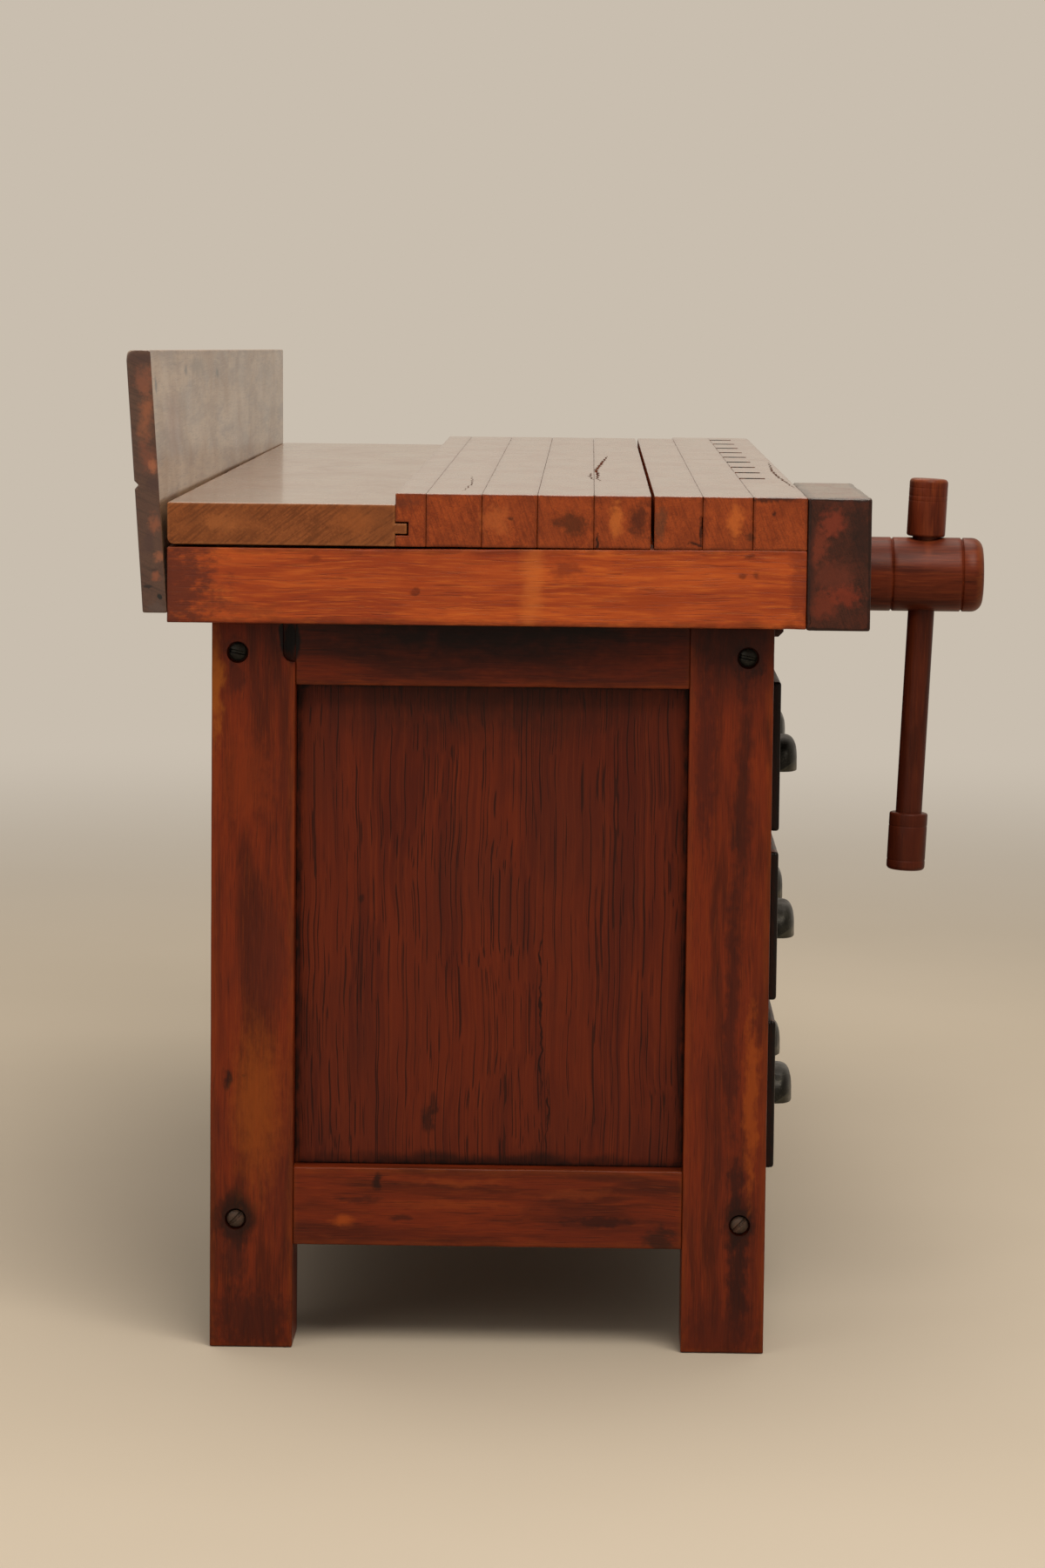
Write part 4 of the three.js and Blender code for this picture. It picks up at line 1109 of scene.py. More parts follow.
@dataclass
class Worktop:
    """The top: two front strips, the laminated slab, the tray board, the backboard and two bearers."""

    stave_joints: tuple[float, ...] = (149, 203.6, 257.5, 310.6, 363.8)
    stave_gap: float = 0.1
    slab_back: float = 393
    tray_groove: tuple[float, float, float] = (10.5, 23.5, 12.5)
    tray_tongue: tuple[float, float, float] = (12, 22, 11)
    tray_top: float = 829
    top_back: float = 611
    tail_gap: float = 0.3
    strip_back: float = 99.8
    inner_strip: tuple[float, float] = (100, 146)
    tail_slot: tuple[float, float] = (809, 820)
    board_top: float = 964
    board_thick: float = 23.2
    board_lean: tuple[float, float] = (3.8, 0.4)
    board_rise: tuple[float, float] = (9, -13)
    board_notch: tuple[float, float, float] = (832, 836, 840)
    notch_deep: float = 4.2
    notch_long: float = 34
    bearer_thick: float = 100
    far_bearer: float = 1219.5
    far_bearer_front: float = 115
    shrunk: float = 2.8
    slit: tuple[float, float] = (90, 330)
    slab_cracks: tuple = (
        (((330, 197), (374, 200.5), (480, 199.5), (610, 201.5), (804, 195), (1030, 188)), 3.4, 9.0, 330),
        (((360, 204.5), (440, 208), (540, 206)), 1.8, 6.0, 360),
        (((60, 330), (240, 326), (420, 331)), 1.2, 3.0, 60))
    strip_crack: tuple = (((212, 3.5), (300, 6), (494, 9.5), (658, 9.5), (890, 4)), 2.4, 6.0, 77)

    def build(self) -> None:
        """Builds and dresses every board of the top."""
        self.slab()
        self.dog_strip()
        self.second_strip()
        self.tray()
        self.backboard()
        self.bearers()

    def slab(self) -> None:
        """Five staves side by side, the last with the groove that takes the tray board's tongue."""
        joints, gap, back = self.stave_joints, self.stave_gap, self.slab_back
        staves = [board(Axis.LENGTH, (0, a + gap, UNDER), (TOP_END, b - gap, TOP - 0.12 * (i % 2)),
                        ease=1.0, end_ease=1.5, chips=4, seed=20 + i)
                  for i, (a, b) in enumerate(zip(joints[:-1], joints[1:]))]
        low, high, deep = self.tray_groove
        low, high, deep = UNDER + low, UNDER + high, back - deep
        front, span = joints[-1] + gap, (0.0, TOP_END)
        corners = np.array([(front, UNDER), (back, UNDER), (back, low), (deep, low),
                            (deep, high), (back, high), (back, TOP), (front, TOP)])
        staves.append(carried(
            Axis.LENGTH, corners, along_board(*span), span, [1.0, 1.2, .5, .3, .3, .5, 1.8, 1.0],
            end_ease=1.0, chips=3, seed=26))
        slab = skin("slab_staves", Surface.joined(staves))
        for line in self.slab_cracks:
            bore(slab, crack(*line))
        dress(slab, TOP_MAPLE, "bench", ["main_slab"])

    def dog_strip(self) -> None:
        """The front strip of two laminations, the front one notched for the dogs."""
        end = TAIL_START - self.tail_gap
        places = along_board(0, end, FRONT_HOLES.sides())
        back = FRONT_HOLES.back(places)
        corners = sections(places, (0, UNDER), (back, UNDER), (back, TOP), (0, TOP))
        front = carried(Axis.LENGTH, corners, places, (0, end), [1.6, 0.6, 0.8, 2.0], 1.6, chips=6,
                        seed=31)
        inner = board(Axis.LENGTH, (0, STRIP_SEAM, UNDER), (end, self.strip_back, TOP), 0.9,
                      end_ease=1.5, chips=4, seed=32)
        strip = skin("dog_strip_laminations", Surface.joined([front, inner]))
        bore(strip, crack(*self.strip_crack))
        dress(strip, TOP_MAPLE, "bench", ["front_dog_strip"])

    def second_strip(self) -> None:
        """The strip behind the dog strip, grooved past that one's end for the tail vise's tongue."""
        end = TAIL_START - self.tail_gap
        places = along_board(0, TOP_END, [end])
        deep = np.where(places < end, 100.6, 110.5)
        (front, back), (low, high) = self.inner_strip, self.tail_slot
        corners = sections(places, (front, UNDER), (back, UNDER), (back, TOP), (front, TOP),
                           (front, high), (deep, high), (deep, low), (front, low))
        strip = carried(Axis.LENGTH, corners, places, (0, TOP_END), [1, 1, 1.2, .9, .2, .2, .2, .2], 1.4,
                        chips=4, seed=33)
        dress(skin("inner_strip", strip), TOP_MAPLE, "bench", ["front_inner_strip"])

    def tray(self) -> None:
        """The tray board with its tongue in the slab's groove and a rounded lower back corner."""
        front, tip = self.slab_back + self.stave_gap, self.slab_back - self.tray_tongue[2]
        low, high = UNDER + self.tray_tongue[0], UNDER + self.tray_tongue[1]
        corners = np.array([
            (front, UNDER), (self.top_back, UNDER), (self.top_back, self.tray_top),
            (front, self.tray_top), (front, high), (tip, high), (tip, low), (front, low)])
        span = (0.0, TOP_END)
        plank = carried(Axis.LENGTH, corners, along_board(*span), span, [1, 9, 2, 1, .3, .8, .8, .3],
                        1.4, chips=4, seed=41)
        dress(skin("tray_plank", plank), TRAY_PLANK, "bench", ["tray_board"])

    def backboard(self) -> None:
        """The backboard.

        Its section leans back by the tangent of its lean and stands higher by its rise. The tangent and
        the rise change evenly from the near end to the far one, and a notch in its back fades out along
        the board.
        """
        span = (0.0, TOP_END)
        places = along_board(*span)
        near, far = (np.tan(math.radians(angle)) for angle in self.board_lean)
        lean = near + (far - near) * places / TOP_END
        rise = np.interp(places, span, self.board_rise)
        notch = self.notch_deep * np.clip(1 - places / self.notch_long, 0, 1)
        front, back = self.top_back, self.top_back + self.board_thick
        start, middle, stop = self.board_notch
        outline = [(front, LEG_TOP, 0), (back, LEG_TOP, 0), (back, start, 0), (back, middle, 1),
                   (back, stop, 0), (back, self.board_top, 0), (front, self.board_top, 0)]
        corners = sections(places, *(
            (y - cut * notch + lean * (z - LEG_TOP), z + rise) for y, z, cut in outline))
        plank = carried(Axis.LENGTH, corners, places, span, [1.4, 2, .4, .4, .4, 10, 1.6], 1.3, wear=0.6,
                        chips=5, seed=51)
        dress(skin("back_plank", plank), GREY_BOARD, "bench", ["backboard"])

    def bearers(self) -> None:
        """The two bearers that carry the top on the legs.

        The near one has shrunk away from the top by shrunk * clip((y - start) / length, 0, 1), which
        leaves a dark slit towards the back.
        """
        start, length = self.slit
        places = along_board(0, self.top_back)
        top = UNDER - self.shrunk * np.clip((places - start) / length, 0, 1)
        thick = self.bearer_thick
        corners = sections(places, (LEG_TOP, 0), (top, 0), (top, thick), (LEG_TOP, thick))
        near = carried(Axis.DEPTH, corners, places, (0, self.top_back), [2.2, 1.2, 2.2, 2.2], chips=4,
                       seed=61)
        far = board(Axis.DEPTH, (self.far_bearer, self.far_bearer_front, LEG_TOP),
                    (self.far_bearer + thick, self.top_back, UNDER), 1.6, chips=4, seed=62)
        dress(skin("bearer_near", near), BEARER_WOOD, "bench", ["near_bearer"])
        dress(skin("bearer_far", far), BEARER_WOOD, "bench", ["far_bearer"])
        finish_node(BEARER_WOOD, "tail_vise_nut")


@dataclass
class EndFrame:
    """One panelled end of the base: two legs with bolt heads, two rails and a panel."""

    which: End
    leg_start: float
    leg: float = 81
    leg_back: float = 490
    rail_front: float = 109
    bolt_inset: float = 25
    bolt_heights: tuple[float, float] = (127, 683)
    bolt_radius: float = 8.6
    recess: tuple[float, float] = (10, 9)
    rails: tuple[tuple[str, int, int], ...] = (("top", 652, LEG_TOP), ("bottom", 102, 179))
    rail_setback: tuple[float, float] = (3, 40)
    panel: tuple[float, float] = (179, 652)
    panel_setback: tuple[float, float] = (25, 15)

    def build(self) -> None:
        """Builds and dresses the end."""
        name, seed = self.which.name.lower(), 100 + 40 * self.which.value
        for side, y in (("front", BASE_FRONT), ("back", self.leg_back)):
            self.post(f"{name}_{side}", side, y, seed)
        x0, x1 = self.inward(*self.rail_setback)
        for part, low, high in self.rails:
            rail = board(Axis.DEPTH, (x0, self.rail_front, low), (x1, self.leg_back, high), 1.6, chips=3,
                         seed=seed + low)
            dress(skin(f"{name}_{part}_rail_board", rail), FRAME_WOOD.along(Axis.DEPTH), "bench",
                  [f"{name}_end_{part}_rail"])
        x0, x1 = self.inward(*self.panel_setback)
        low, high = self.panel
        panel = board(Axis.HEIGHT, (x0, self.rail_front, low), (x1, self.leg_back, high), 1.0,
                      seed=seed + 9)
        dress(skin(f"{name}_oak_panel", panel), PANEL_OAK, "bench", [f"{name}_end_panel"])

    def outer(self) -> float:
        """Where the end's outer face stands along the bench."""
        return self.leg_start if self.which is End.NEAR else self.leg_start + self.leg

    def inward(self, setback: float, thick: float) -> list[float]:
        """Where a board starts and stops along the bench, from its setback behind the outer face."""
        return sorted(self.outer() - self.which.value * way for way in (setback, setback + thick))

    def post(self, name: str, side: str, y: float, seed: int) -> None:
        """One leg with two recessed bolts: the low one rusted, the high one black, partly as painted
        shade under the bearer.

        Args:
            name: of the end and side.
            side: front or back.
            y: the leg's front face.
            seed: of the end's random wear.
        """
        post = skin(f"{name}_post", board(
            Axis.HEIGHT, (self.leg_start, y, 0), (self.leg_start + self.leg, y + self.leg, LEG_TOP), 1.8,
            end_ease=1.6, chips=5, seed=seed + int(y)))
        bolt_y = y + self.bolt_inset if side == "front" else y + self.leg - self.bolt_inset
        way = self.which.value
        seats = [Seat((self.outer(), bolt_y, z), (0, 1, 0), (way, 0, 0), (0, 0, -way))
                 for z in self.bolt_heights]
        radius, deep = self.recess
        profile = np.array([radius - .4, radius, radius + .8]), np.array([-deep, -deep + .4, 4.0])
        bore(post, Surface.joined([spun(seat, *profile, 48) for seat in seats]))
        if self.which is End.NEAR and side == "back":
            bore(post, self.gouge())
        dress(post, FRAME_WOOD, "bench", [f"{name}_leg"])
        # the high heads' black iron partly paints the shade under the bearer
        for seat, place, iron in zip(seats, ("low", "high"), (RUSTED_IRON, CAST_IRON)):
            head = self.bolt_head(seat, seed + len(place))
            dress(skin(f"{name}_bolt_{place}", head), iron, "bench")

    def gouge(self) -> Surface:
        """The hollow in a leg's top inner corner: a rectangle with a round corner, carried into the leg.

        Returns:
            The closed skin of the hollow.
        """
        start, stop = self.leg_back - 9, self.leg_back + 12.5
        corners = np.array([(start, 674), (stop, 674), (stop, 724), (start, 724)])
        span = (self.leg_start - 6, self.leg_start + 14)
        return carried(Axis.LENGTH, corners, along_board(*span), span, [1, 12, 1, 1], 0.3, 0.2, seed=71)

    def bolt_head(self, seat: Seat, seed: int) -> Surface:
        """A slotted bolt head low in its recess.

        The head is a disc whose top falls by 2.2 times the square of its share of the radius, with a
        skirt down to the recess floor, and a slot 2 deep within 1.2 of its middle line that fades out
        by 1.7.

        Args:
            seat: of the recess, at the leg's face.
            seed: turns the slot.

        Returns:
            The closed skin.
        """
        share = np.array([1, 1, .97, .88, .76, .64, .52, .4, .3, .2, .1, .02])
        height = np.concatenate([[-8.9, -4.2], -3.6 - 2.2 * share[2:] ** 2 + 2.2 * 0.97 ** 2])
        disc = spun(seat, self.bolt_radius * share, height, 64, seed=seed)
        own = (disc.points - np.asarray(seat.origin)) @ np.array([seat.side, seat.on, seat.up]).T
        turn = 0.6 + seed
        across = own[:, 0] * math.cos(turn) + own[:, 2] * math.sin(turn)
        slot = np.clip((1.7 - np.abs(across)) / 0.5, 0, 1) * (own[:, 1] > -4.0)
        disc.points = disc.points - 2.0 * slot[:, None] * np.asarray(seat.on)
        return disc


@dataclass
class LongFrame:
    """What joins the two ends: four long rails, the drawer dividers and the inner case."""

    rail_thick: float = 50
    back_rail: int = 521
    levels: tuple[tuple[str, int, int], ...] = (("upper", 645, LEG_TOP), ("lower", 102, 180))
    divider: tuple[float, float] = (40, 39)
    partition: float = 654
    floors: tuple[float, ...] = (180, 348, 516)

    def build(self) -> None:
        """Builds the rails and dividers and gives the inner boards their finish."""
        wood = FRAME_WOOD.along(Axis.LENGTH)
        for side, y in (("front", BASE_FRONT), ("back", self.back_rail)):
            for part, low, high in self.levels:
                rail = board(Axis.LENGTH, (NEAR_RAIL, y, low), (FAR_RAIL, y + self.rail_thick, high),
                             1.6, chips=5, seed=y + low)
                dress(skin(f"{side}_{part}_rail_board", rail), wood, "bench",
                      [f"{side}_{part}_rail"])
        deep, tall = self.divider
        for i, floor in enumerate(self.floors[1:], 1):
            bar = board(Axis.LENGTH, (NEAR_RAIL, BASE_FRONT, floor - tall),
                        (self.partition, BASE_FRONT + deep, floor), 1.4, seed=300 + i)
            dress(skin(f"divider_bar_{i}", bar), wood, "bench", [f"drawer_divider_{i}"])
        finish_node(BARE_PINE.along(Axis.DEPTH), "runner_board")
        finish_node(BARE_PINE.along(Axis.HEIGHT), "partition", "case_back")


@dataclass
class Drawer:
    """One drawer: a lipped front, a plain box and two cup pulls."""

    number: int
    floor: float
    tall: float = 129
    lip: tuple[float, float] = (112, 663)
    lip_face: float = 17.7
    lip_back: float = 27.7
    lip_over: float = 9
    block: tuple[float, float] = (123, 652)
    block_span: tuple[float, float] = (24, 40)
    block_gap: float = 2
    pull_inset: float = 131
    pull_drop: float = 97
    pull: tuple[float, float, float] = (48, 22, 33)
    flange: float = 5
    shell: float = 2.2

    def build(self) -> None:
        """Builds the front and the pulls, and gives the box its finish."""
        body = f"drawer_{self.number}"
        top = self.floor + self.tall
        lip = board(Axis.LENGTH, (self.lip[0], self.lip_face, self.floor - self.lip_over),
                    (self.lip[1], self.lip_back, top + self.lip_over),
                    3.6, end_ease=3.2, wear=0.25, chips=2, seed=400 + self.number)
        block = board(Axis.LENGTH, (self.block[0], self.block_span[0], self.floor + self.block_gap),
                      (self.block[1], self.block_span[1], top - self.block_gap), 0.8,
                      seed=410 + self.number)
        dress(skin(f"drawer_front_{self.number}", Surface.joined([lip, block])), DRAWER_WOOD, body,
              [f"{body}_front"])
        finish_node(BARE_PINE.along(Axis.DEPTH), f"{body}_box")
        finish_node(BARE_PINE.along(Axis.LENGTH), f"{body}_bottom")
        for i, x in enumerate((self.lip[0] + self.pull_inset, self.lip[1] - self.pull_inset), 1):
            cup = self.cup(x, top + self.lip_over - self.pull_drop)
            dress(cup, CAST_IRON, body, [f"{body}_pull_{i}"], crisp=60)

    def cup(self, x: float, z: float) -> bpy.types.Object:
        """A cup pull: a flange on the drawer and a shell in front of it.

        The shell is a superellipsoid quarter, x = half * s(a), y = -reach * c(a) * s(b) and
        z = tall * c(a) * c(b), where s and c are the sine and cosine to the power 2 / 3 across and
        2 / 4.2 in section, so the shoulder is round and the front straight. The flange is the same
        outline a little larger, flat on the drawer.

        Args:
            x: the middle of the pull along the drawer.
            z: its lower edge.

        Returns:
            The pull as an open sheet with a Solidify modifier.
        """
        half, reach, tall = self.pull
        a = np.linspace(-np.pi / 2, np.pi / 2, 41)
        b = np.linspace(0, np.pi / 2, 15)
        sa, ca = np.sign(np.sin(a)) * np.abs(np.sin(a)) ** (2 / 3), np.abs(np.cos(a)) ** (2 / 3)
        sb, cb = np.sin(b) ** (2 / 4.2), np.cos(b) ** (2 / 4.2)
        own = np.stack([np.broadcast_to(half * sa, (len(b), len(a))),
                        -1.6 - (reach - 1.8) * sb[:, None] * ca, tall * cb[:, None] * ca], -1)
        own[..., 2] = np.maximum(own[..., 2], 0)
        wide = 1 + np.array([self.flange, self.flange, 1.0])[:, None] / np.array([half, tall]).mean()
        out = np.array([-0.2, -1.4, -1.6])[:, None]
        rim = np.stack([half * sa * wide, out + 0 * sa, tall * ca * wide], -1)
        rings = np.concatenate([rim, own]) + np.array([x, self.lip_face, z])
        count, per, _ = rings.shape
        rub = np.zeros((count, per))
        rub[-2:] = 0.7
        sheet = Surface(rings.reshape(-1, 3), grid_faces(count, per), [], rub.ravel(),
                        np.zeros(count * per), np.full(count * per, 0.1 * self.number))
        cup = skin(f"cup_pull_{self.number}_{int(x)}", sheet)
        wall = cup.modifiers.new("wall", "SOLIDIFY")
        wall.thickness, wall.offset = self.shell * MM, -1
        return cup


@dataclass
class ScrewAndHandle:
    """A wooden vise screw with its hub, and the bar with two knobs that slides through the hub.

    Heights run along the screw from the jaw's outer face, and along the bar from the hub's hole.
    """

    name: str
    seat: Seat
    radius: float
    jaw_thick: float
    thread_start: float
    tip: float
    hub: float = 36.5
    hub_length: float = 120
    pitch: float = 12.5
    thread_deep: float = 5
    bar_hole: float = 62
    bar: float = 13
    knob: float = 19
    knob_foot: float = 37.63
    knob_top: float = 94.63
    tilt: float = math.radians(2.4)

    def build(self) -> None:
        """Builds the screw on its body, and the bar and knob on theirs."""
        vise, hung = self.name, self.hung()
        grain = Axis.DEPTH if abs(self.seat.on[1]) > 0.5 else Axis.LENGTH
        screw = skin(f"{vise}_screw_turning", Surface.joined([self.shaft(), self.thread()]))
        hole = np.array([(14.6, -44.5), (13.7, -35.0), (13.7, 35.0), (14.6, 44.5)])
        bore(screw, spun(hung, hole[:, 0], hole[:, 1], 64))
        dress(screw, TURNED_WOOD.along(grain), f"{vise}_screw", [f"{vise}_vise_screw"],
              crisp=34)
        low, high, bar, knob = self.knob_foot, self.knob_top, self.bar, self.knob
        long_bar = np.concatenate([
            [(12, low - 332)], quarter(knob, low - 328, 4, -80, 0), groove(knob, low - 322, 1.2, 0.35),
            groove(knob, low - 288, 1.0, 0.3), quarter(knob, low - 277, 2, 0, 86), [(bar, low - 274.9)],
            [(bar, low - 274.5)], np.stack([np.full(30, bar), np.linspace(low - 272, low + 44, 30)], 1)])
        end_knob = np.concatenate([
            [(bar, low)], quarter(knob, low + 2.5, 2.5, -84, 0), groove(knob, low + 35, 1.1, 0.12),
            groove(knob, low + 40, 1.1, 0.16), groove(knob, high - 9, 1.0, 0.12),
            quarter(knob, high - 4, 4, 0, 82), [(12, high)]])
        for part, profile, seed, node in (("bar", long_bar, 7, "handle"),
                                          ("end_knob", end_knob, 8, "handle_knob")):
            rub = np.exp(-((profile[:, 1] - profile[-1, 1]) / 5) ** 2)
            turned = spun(hung, profile[:, 0], profile[:, 1], 64, rub, seed)
            dress(skin(f"{vise}_handle_{part}", turned), TURNED_WOOD.along(Axis.HEIGHT),
                  f"{vise}_handle", [f"{vise}_vise_{node}"], crisp=34)

    def hung(self) -> Seat:
        """Finds the bar's place: through the hub's hole, its foot swung towards the bench by the tilt.

        Returns:
            The seat of the bar.
        """
        on, up = np.array(self.seat.on, float), np.array(self.seat.up, float)
        rise = math.cos(self.tilt) * up - math.sin(self.tilt) * on
        across = math.cos(self.tilt) * on + math.sin(self.tilt) * up
        origin = np.asarray(self.seat.origin) - self.bar_hole * on
        return Seat(tuple(origin), tuple(-across), tuple(rise), tuple(np.cross(-across, rise)))

    def shaft(self) -> Surface:
        """The hub with a rounded end and two grooves, the neck, and the groove for the garter key.

        Returns:
            The closed skin.
        """
        r, hub, t, start = self.radius, self.hub, self.jaw_thick, self.thread_start
        profile = np.concatenate([
            [(8, -self.hub_length)], quarter(hub, 11 - self.hub_length, 11, -88, 0),
            groove(hub, -99, 1.7, 1.7), np.stack([np.full(8, hub), np.linspace(-94, -36, 8)], 1),
            groove(hub, -30, 1.7, 1.5),
            [(hub, -24), (hub, -6), (hub, -1.4)], quarter(hub, -1.2, 0.8, 0, 80), [(r, -0.3)],
            [(r, 4), (r, t - 8.5), (r - 7, t - 8.4), (r - 7, t + 0.4), (r, t + 0.5), (r, start - 2),
             (r - 3, start)]])
        rub = np.exp(-((profile[:, 1] + self.hub_length - 3) / 6) ** 2)
        return spun(self.seat, profile[:, 0], profile[:, 1], 80, rub, 5)

    def thread(self) -> Surface:
        """A right-hand thread.

        The radius falls by thread_deep times the distance of height / pitch - angle / turn from its
        crest, cut flat at crest and root, and by 2 more over the last 10 to the tip.

        Returns:
            The closed skin.
        """
        height = np.arange(self.thread_start - self.pitch / 2, self.tip, self.pitch / 14)
        angle = np.linspace(0, 2 * np.pi, 48, endpoint=False)
        turns = height[:, None] / self.pitch - angle / (2 * np.pi)
        wave = np.abs(2 * (turns - np.floor(turns)) - 1)
        taper = np.clip((self.tip - height[:, None]) / 10, 0, 1) * 2 + 1
        radius = self.radius - self.thread_deep * np.clip(1.15 * wave - 0.08, 0, 1) - (3 - taper)
        return spun(self.seat, radius, height, 48, 0.0, 6)


@dataclass
class FrontVise:
    """The front vise: a thick jaw at the near end, on a wooden screw between two steel guide rods."""

    axis_x: float = 170.3
    axis_z: float = 758
    face: float = -61.3
    jaw_length: float = 341
    jaw_foot: float = 713
    key_half: float = 35.5
    guides: tuple[float, float] = (118.3, 222.3)

    def build(self) -> None:
        """Builds the jaw, rods, screw and handle."""
        x, z, half = self.axis_x, self.axis_z, self.key_half
        jaw = skin("front_jaw_block", board(
            Axis.LENGTH, (0, self.face, self.jaw_foot), (self.jaw_length, -0.3, TOP), 3.2, end_ease=2.6,
            wear=0.5, chips=5, seed=500))
        bore(jaw, board(Axis.DEPTH, (x - half, -8.3, z - half), (x + half, 6, z + half), 0.2,
                        end_ease=0.2))
        dress(jaw, JAW_WOOD, "front_jaw", ["front_vise_jaw"])
        rod = np.array([(8.5, -40), (9.5, -39), (9.5, 0), (9.5, 120), (9.5, 260.6), (8.4, 262)])
        for i, guide in enumerate(self.guides, 1):
            bar = spun(self.seat(guide, 0), rod[:, 0], rod[:, 1], 48, seed=i)
            dress(skin(f"guide_rod_{i}", bar), DRAWN_STEEL, "front_jaw",
                  [f"front_vise_guide_rod_{i}"])
        finish_node(BARE_PINE.along(Axis.HEIGHT), "front_vise_garter_key")
        finish_node(JAW_WOOD, "front_vise_nut")
        ScrewAndHandle("front", self.seat(x, self.face), radius=28.5, jaw_thick=61, thread_start=69,
                       tip=323.3).build()

    def seat(self, x: float, y: float) -> Seat:
        """A seat on the vise's level that looks into the bench."""
        return Seat((x, y, self.axis_z), (1, 0, 0), (0, 1, 0), (0, 0, 1))


@dataclass
class TailVise:
    """The tail vise: a sliding block of the top with dog holes, a deep jaw, a screw and a handle."""

    stop: float = 1740
    low: float = 789.3
    back: float = 99.7
    round_: float = 14
    tongue: tuple[float, float] = (809.5, 819.5)
    cheek: tuple[float, float] = (1319.8, 22)
    jaw_foot: float = 713
    jaw_face: float = 1670
    screw: tuple[float, float] = (72, 743)

    def build(self) -> None:
        """Builds the block, jaw, screw and handle."""
        self.block()
        self.jaw()
        finish_node(BARE_PINE.along(Axis.HEIGHT), "tail_vise_garter_key")
        seat = Seat((self.stop, *self.screw), (0, 1, 0), (-1, 0, 0), (0, 0, 1))
        ScrewAndHandle("tail", seat, radius=20, jaw_thick=70, thread_start=408, tip=645.5).build()

    def block(self) -> None:
        """The block of two laminations.

        The front one is notched for the dogs, and its far corner is an arc of radius round_. The other
        has the guide tongue as far as the slab's end.
        """
        span = (TAIL_START, self.stop)
        turn = np.linspace(self.stop - self.round_, self.stop - 1, 12)
        places = np.unique(np.concatenate([along_board(*span, TAIL_HOLES.sides()), turn]))
        back = TAIL_HOLES.back(places)
        past = np.clip(places - (self.stop - self.round_), 0, self.round_)
        face = self.round_ - np.sqrt(self.round_ ** 2 - past ** 2)
        corners = sections(places, (face, self.low), (back, self.low), (back, TOP), (face, TOP))
        front = carried(Axis.LENGTH, corners, places, span, [1.2, 0.6, 0.8, 2.0], 1.4, chips=5, seed=601)
        places = along_board(*span, [TOP_END])
        tip = np.where(places < TOP_END, 110.0, 100.3)
        rim, (low, high) = self.back, self.tongue
        corners = sections(places, (STRIP_SEAM, self.low), (rim, self.low), (rim, low), (tip, low),
                           (tip, high), (rim, high), (rim, TOP), (STRIP_SEAM, TOP))
        rear = carried(Axis.LENGTH, corners, places, span, [.8, 1, .2, .3, .3, .2, 1, .9], 1.4, chips=4,
                       seed=602)
        dress(skin("tail_block_laminations", Surface.joined([front, rear])), TOP_MAPLE, "tail_block",
              ["tail_vise_dog_block"])

    def jaw(self) -> None:
        """The deep jaw with its cheek: an L carried upwards, with a hollow for the garter key."""
        start, thick = self.cheek
        outline = np.array([
            (start, 0), (self.stop, 0), (self.stop, self.back), (self.jaw_face, self.back),
            (self.jaw_face, thick), (start, thick)], float)
        span = (self.jaw_foot, self.low)
        jaw = skin("tail_jaw_block", carried(
            Axis.HEIGHT, outline, along_board(*span), span, [2, 14, 2, 2, 2, 2], 2.0, chips=2, seed=603))
        bore(jaw, board(Axis.LENGTH, (self.jaw_face - 6, 45, 716), (self.jaw_face + 8, 99, 770), 0.2,
                        end_ease=0.2))
        dress(jaw, JAW_WOOD, "tail_block", ["tail_vise_jaw"])


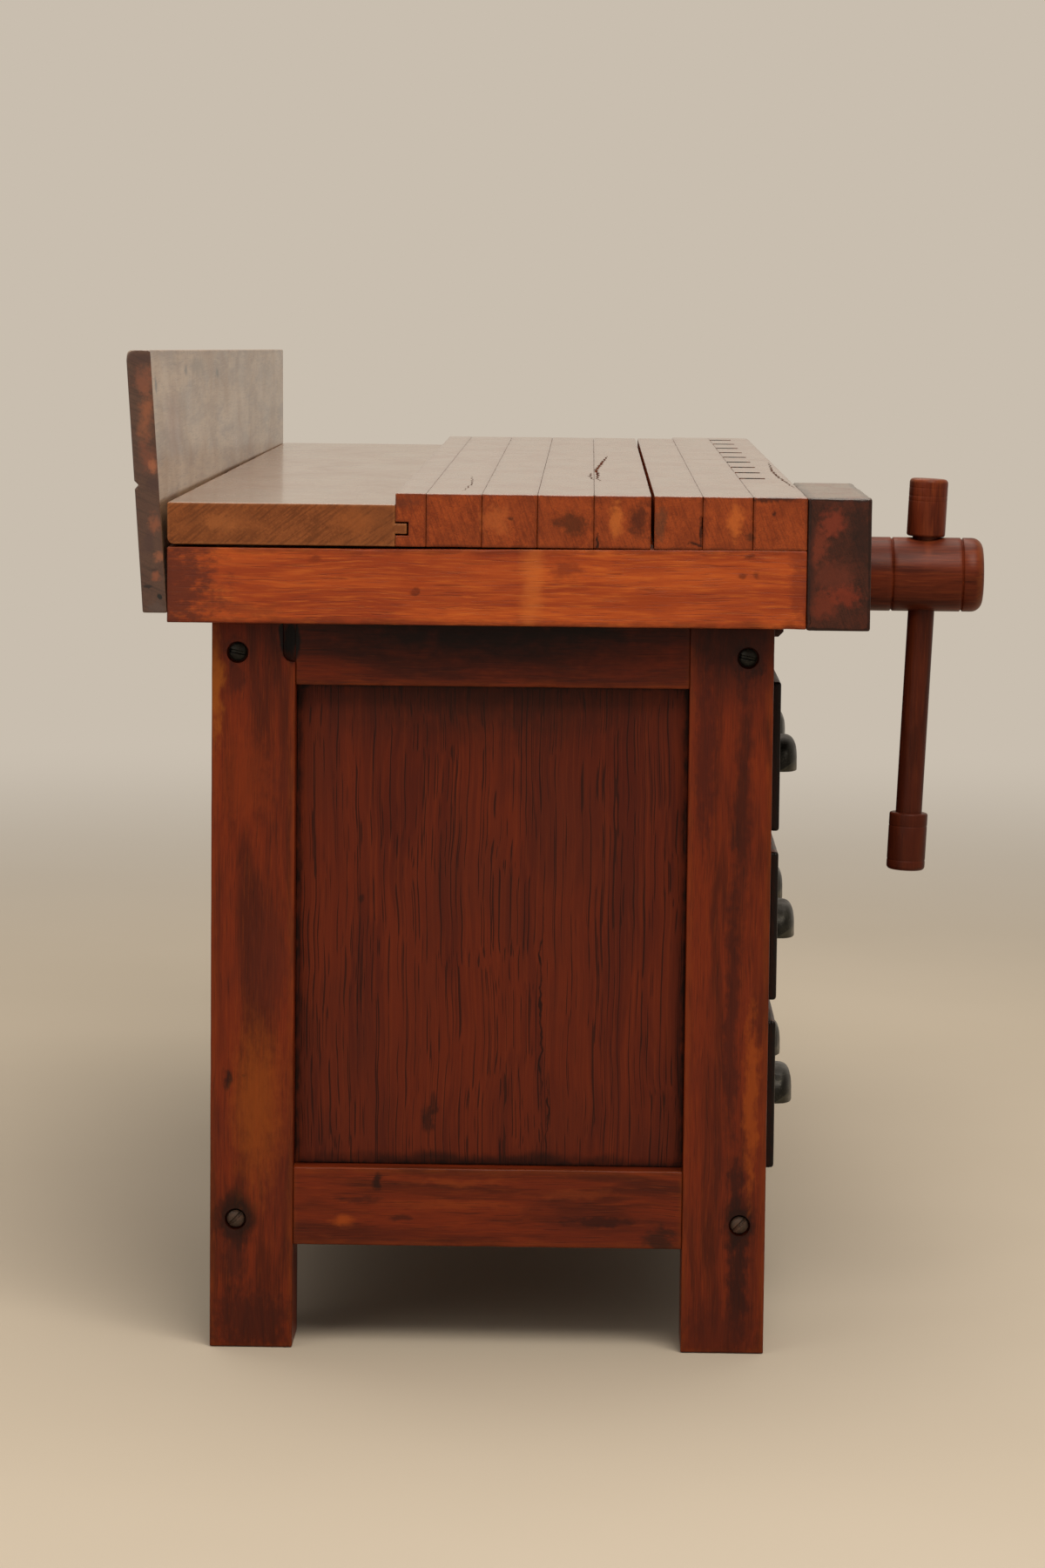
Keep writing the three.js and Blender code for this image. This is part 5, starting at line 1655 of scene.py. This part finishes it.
@dataclass
class Studio:
    """A plain pale floor, soft light and the camera at the photograph's place."""

    eye: tuple[float, float, float] = (-4429.5, 208.0, 1037.6)
    right: tuple[float, float, float] = (0.014904, -0.999833, 0.010571)
    up: tuple[float, float, float] = (0.106437, 0.012098, 0.994246)
    forward: tuple[float, float, float] = (0.994208, 0.013694, -0.106599)
    lens: float = 106.68
    floor: tuple[str, str] = ("#b3a898", "#a99e8d")
    floor_half: float = 12
    melt: tuple[float, float] = (1.2, 5.2)
    surround: str = "#c9beaf"
    daylight: str = "#f2ece2"
    lamp_light: str = "#fff6ea"
    lamp_set: tuple = (
        ("key", (-2.9, -0.9, 3.7), (-0.8, 0.0, 0.5), 2.2, 150.0),
        ("fill", (-3.8, 2.4, 2.2), (-0.7, 0.0, 0.5), 2.4, 32.0),
        ("overhead", (0.5, 0.2, 3.6), (0.3, 0.0, 0.6), 3.0, 110.0))

    def build(self) -> None:
        """Makes the floor, the lamps, the world and the camera."""
        self.ground()
        self.lamps()
        self.world()
        self.camera()

    def seen(self, tree: bpy.types.NodeTree) -> bpy.types.NodeSocket:
        """Tells what is looked at from what only gives light.

        Args:
            tree: where the nodes go.

        Returns:
            One for a ray of the camera, a gloss or a glass, and zero for the others.
        """
        ray = add_node(tree, "ShaderNodeLightPath").outputs
        shown = ray["Is Camera Ray"]
        for kind in ("Is Glossy Ray", "Is Transmission Ray"):
            most = add_node(tree, "ShaderNodeMath", {"operation": "MAXIMUM"}, {0: shown, 1: ray[kind]})
            shown = most.outputs[0]
        return shown

    def ground(self) -> None:
        """A flat matt floor that the camera sees melt into the surround's colour far from the bench."""
        grid = np.linspace(-self.floor_half, self.floor_half, 3)
        y, x = np.meshgrid(grid, grid)
        mesh = bpy.data.meshes.new("floor")
        places = np.stack([x, y, 0 * x - 0.0005], -1).reshape(-1, 3)
        mesh.from_pydata(places.tolist(), [], grid_faces(3, 3).tolist())
        floor = bpy.data.objects.new("floor", mesh)
        bpy.context.scene.collection.objects.link(floor)
        paint, tree, place = new_material("matt_floor_paint")
        soft = add_node(tree, "ShaderNodeTexNoise", {"Scale": 1.3, "Detail": 3.0}, {"Vector": place})
        tone = add_node(tree, "ShaderNodeMix", {
            "data_type": "RGBA", 6: linear(self.floor[0]), 7: linear(self.floor[1])},
            {0: soft.outputs[0]})
        shader = add_node(tree, "ShaderNodeBsdfPrincipled", {"Roughness": 0.8},
                          {"Base Color": tone.outputs[2]})
        out = add_node(tree, "ShaderNodeVectorMath", {"operation": "LENGTH"}, {0: place}).outputs[1]
        far = add_node(tree, "ShaderNodeMapRange", {
            "interpolation_type": "SMOOTHSTEP", "From Min": self.melt[0], "From Max": self.melt[1]},
            {"Value": out})
        melt = add_node(tree, "ShaderNodeMath", {"operation": "MULTIPLY"},
                        {0: self.seen(tree), 1: far.outputs[0]})
        haze = add_node(tree, "ShaderNodeEmission", {"Color": linear(self.surround), "Strength": 1.0})
        mixed = add_node(tree, "ShaderNodeMixShader", None,
                         {0: melt.outputs[0], 1: shader.outputs[0], 2: haze.outputs[0]})
        add_node(tree, "ShaderNodeOutputMaterial", None, {"Surface": mixed.outputs[0]})
        mesh.materials.append(paint)

    def lamps(self) -> None:
        """Large soft lamps: one over the camera, one beside it and one overhead."""
        for name, place, aim, size, power in self.lamp_set:
            lamp = bpy.data.lights.new(name, "AREA")
            lamp.shape, lamp.size, lamp.energy = "SQUARE", size, power
            lamp.color = linear(self.lamp_light)[:3]
            holder = bpy.data.objects.new(name, lamp)
            holder.location = place
            holder.rotation_euler = (Vector(aim) - Vector(place)).to_track_quat("-Z", "Y").to_euler()
            bpy.context.scene.collection.objects.link(holder)

    def world(self) -> None:
        """A pale surround: dim for lighting, its own colour where the camera or a gloss sees it."""
        world = bpy.data.worlds.new("surround")
        bpy.context.scene.world = world
        world.use_nodes = True
        tree = world.node_tree
        tree.nodes.clear()
        dim = add_node(tree, "ShaderNodeBackground", {"Color": linear(self.daylight), "Strength": 0.34})
        shown = add_node(tree, "ShaderNodeBackground", {"Color": linear(self.surround), "Strength": 1.0})
        mixed = add_node(tree, "ShaderNodeMixShader", None,
                         {0: self.seen(tree), 1: dim.outputs[0], 2: shown.outputs[0]})
        add_node(tree, "ShaderNodeOutputWorld", None, {"Surface": mixed.outputs[0]})

    def camera(self) -> None:
        """The camera, from its solved place and directions, for an image of 1200 x 1800."""
        lens = bpy.data.cameras.new("camera")
        lens.lens, lens.sensor_width, lens.sensor_fit = self.lens, 36.0, "AUTO"
        holder = bpy.data.objects.new("camera", lens)
        turn = Matrix((self.right, self.up, tuple(-v for v in self.forward))).transposed().to_4x4()
        holder.matrix_world = Matrix.Translation(Vector(metres(np.array(self.eye)))) @ turn
        bpy.context.scene.collection.objects.link(holder)
        bpy.context.scene.camera = holder


def main() -> None:
    """Builds the bench and the studio."""
    bpy.context.scene.view_settings.view_transform = "Standard"
    Studio().build()
    Worktop().build()
    EndFrame(End.NEAR, leg_start=40).build()
    EndFrame(End.FAR, leg_start=FAR_RAIL).build()
    long_frame = LongFrame()
    long_frame.build()
    for number, floor in enumerate(long_frame.floors, 1):
        Drawer(number, floor).build()
    FrontVise().build()
    TailVise().build()


if __name__ == "__main__":
    main()
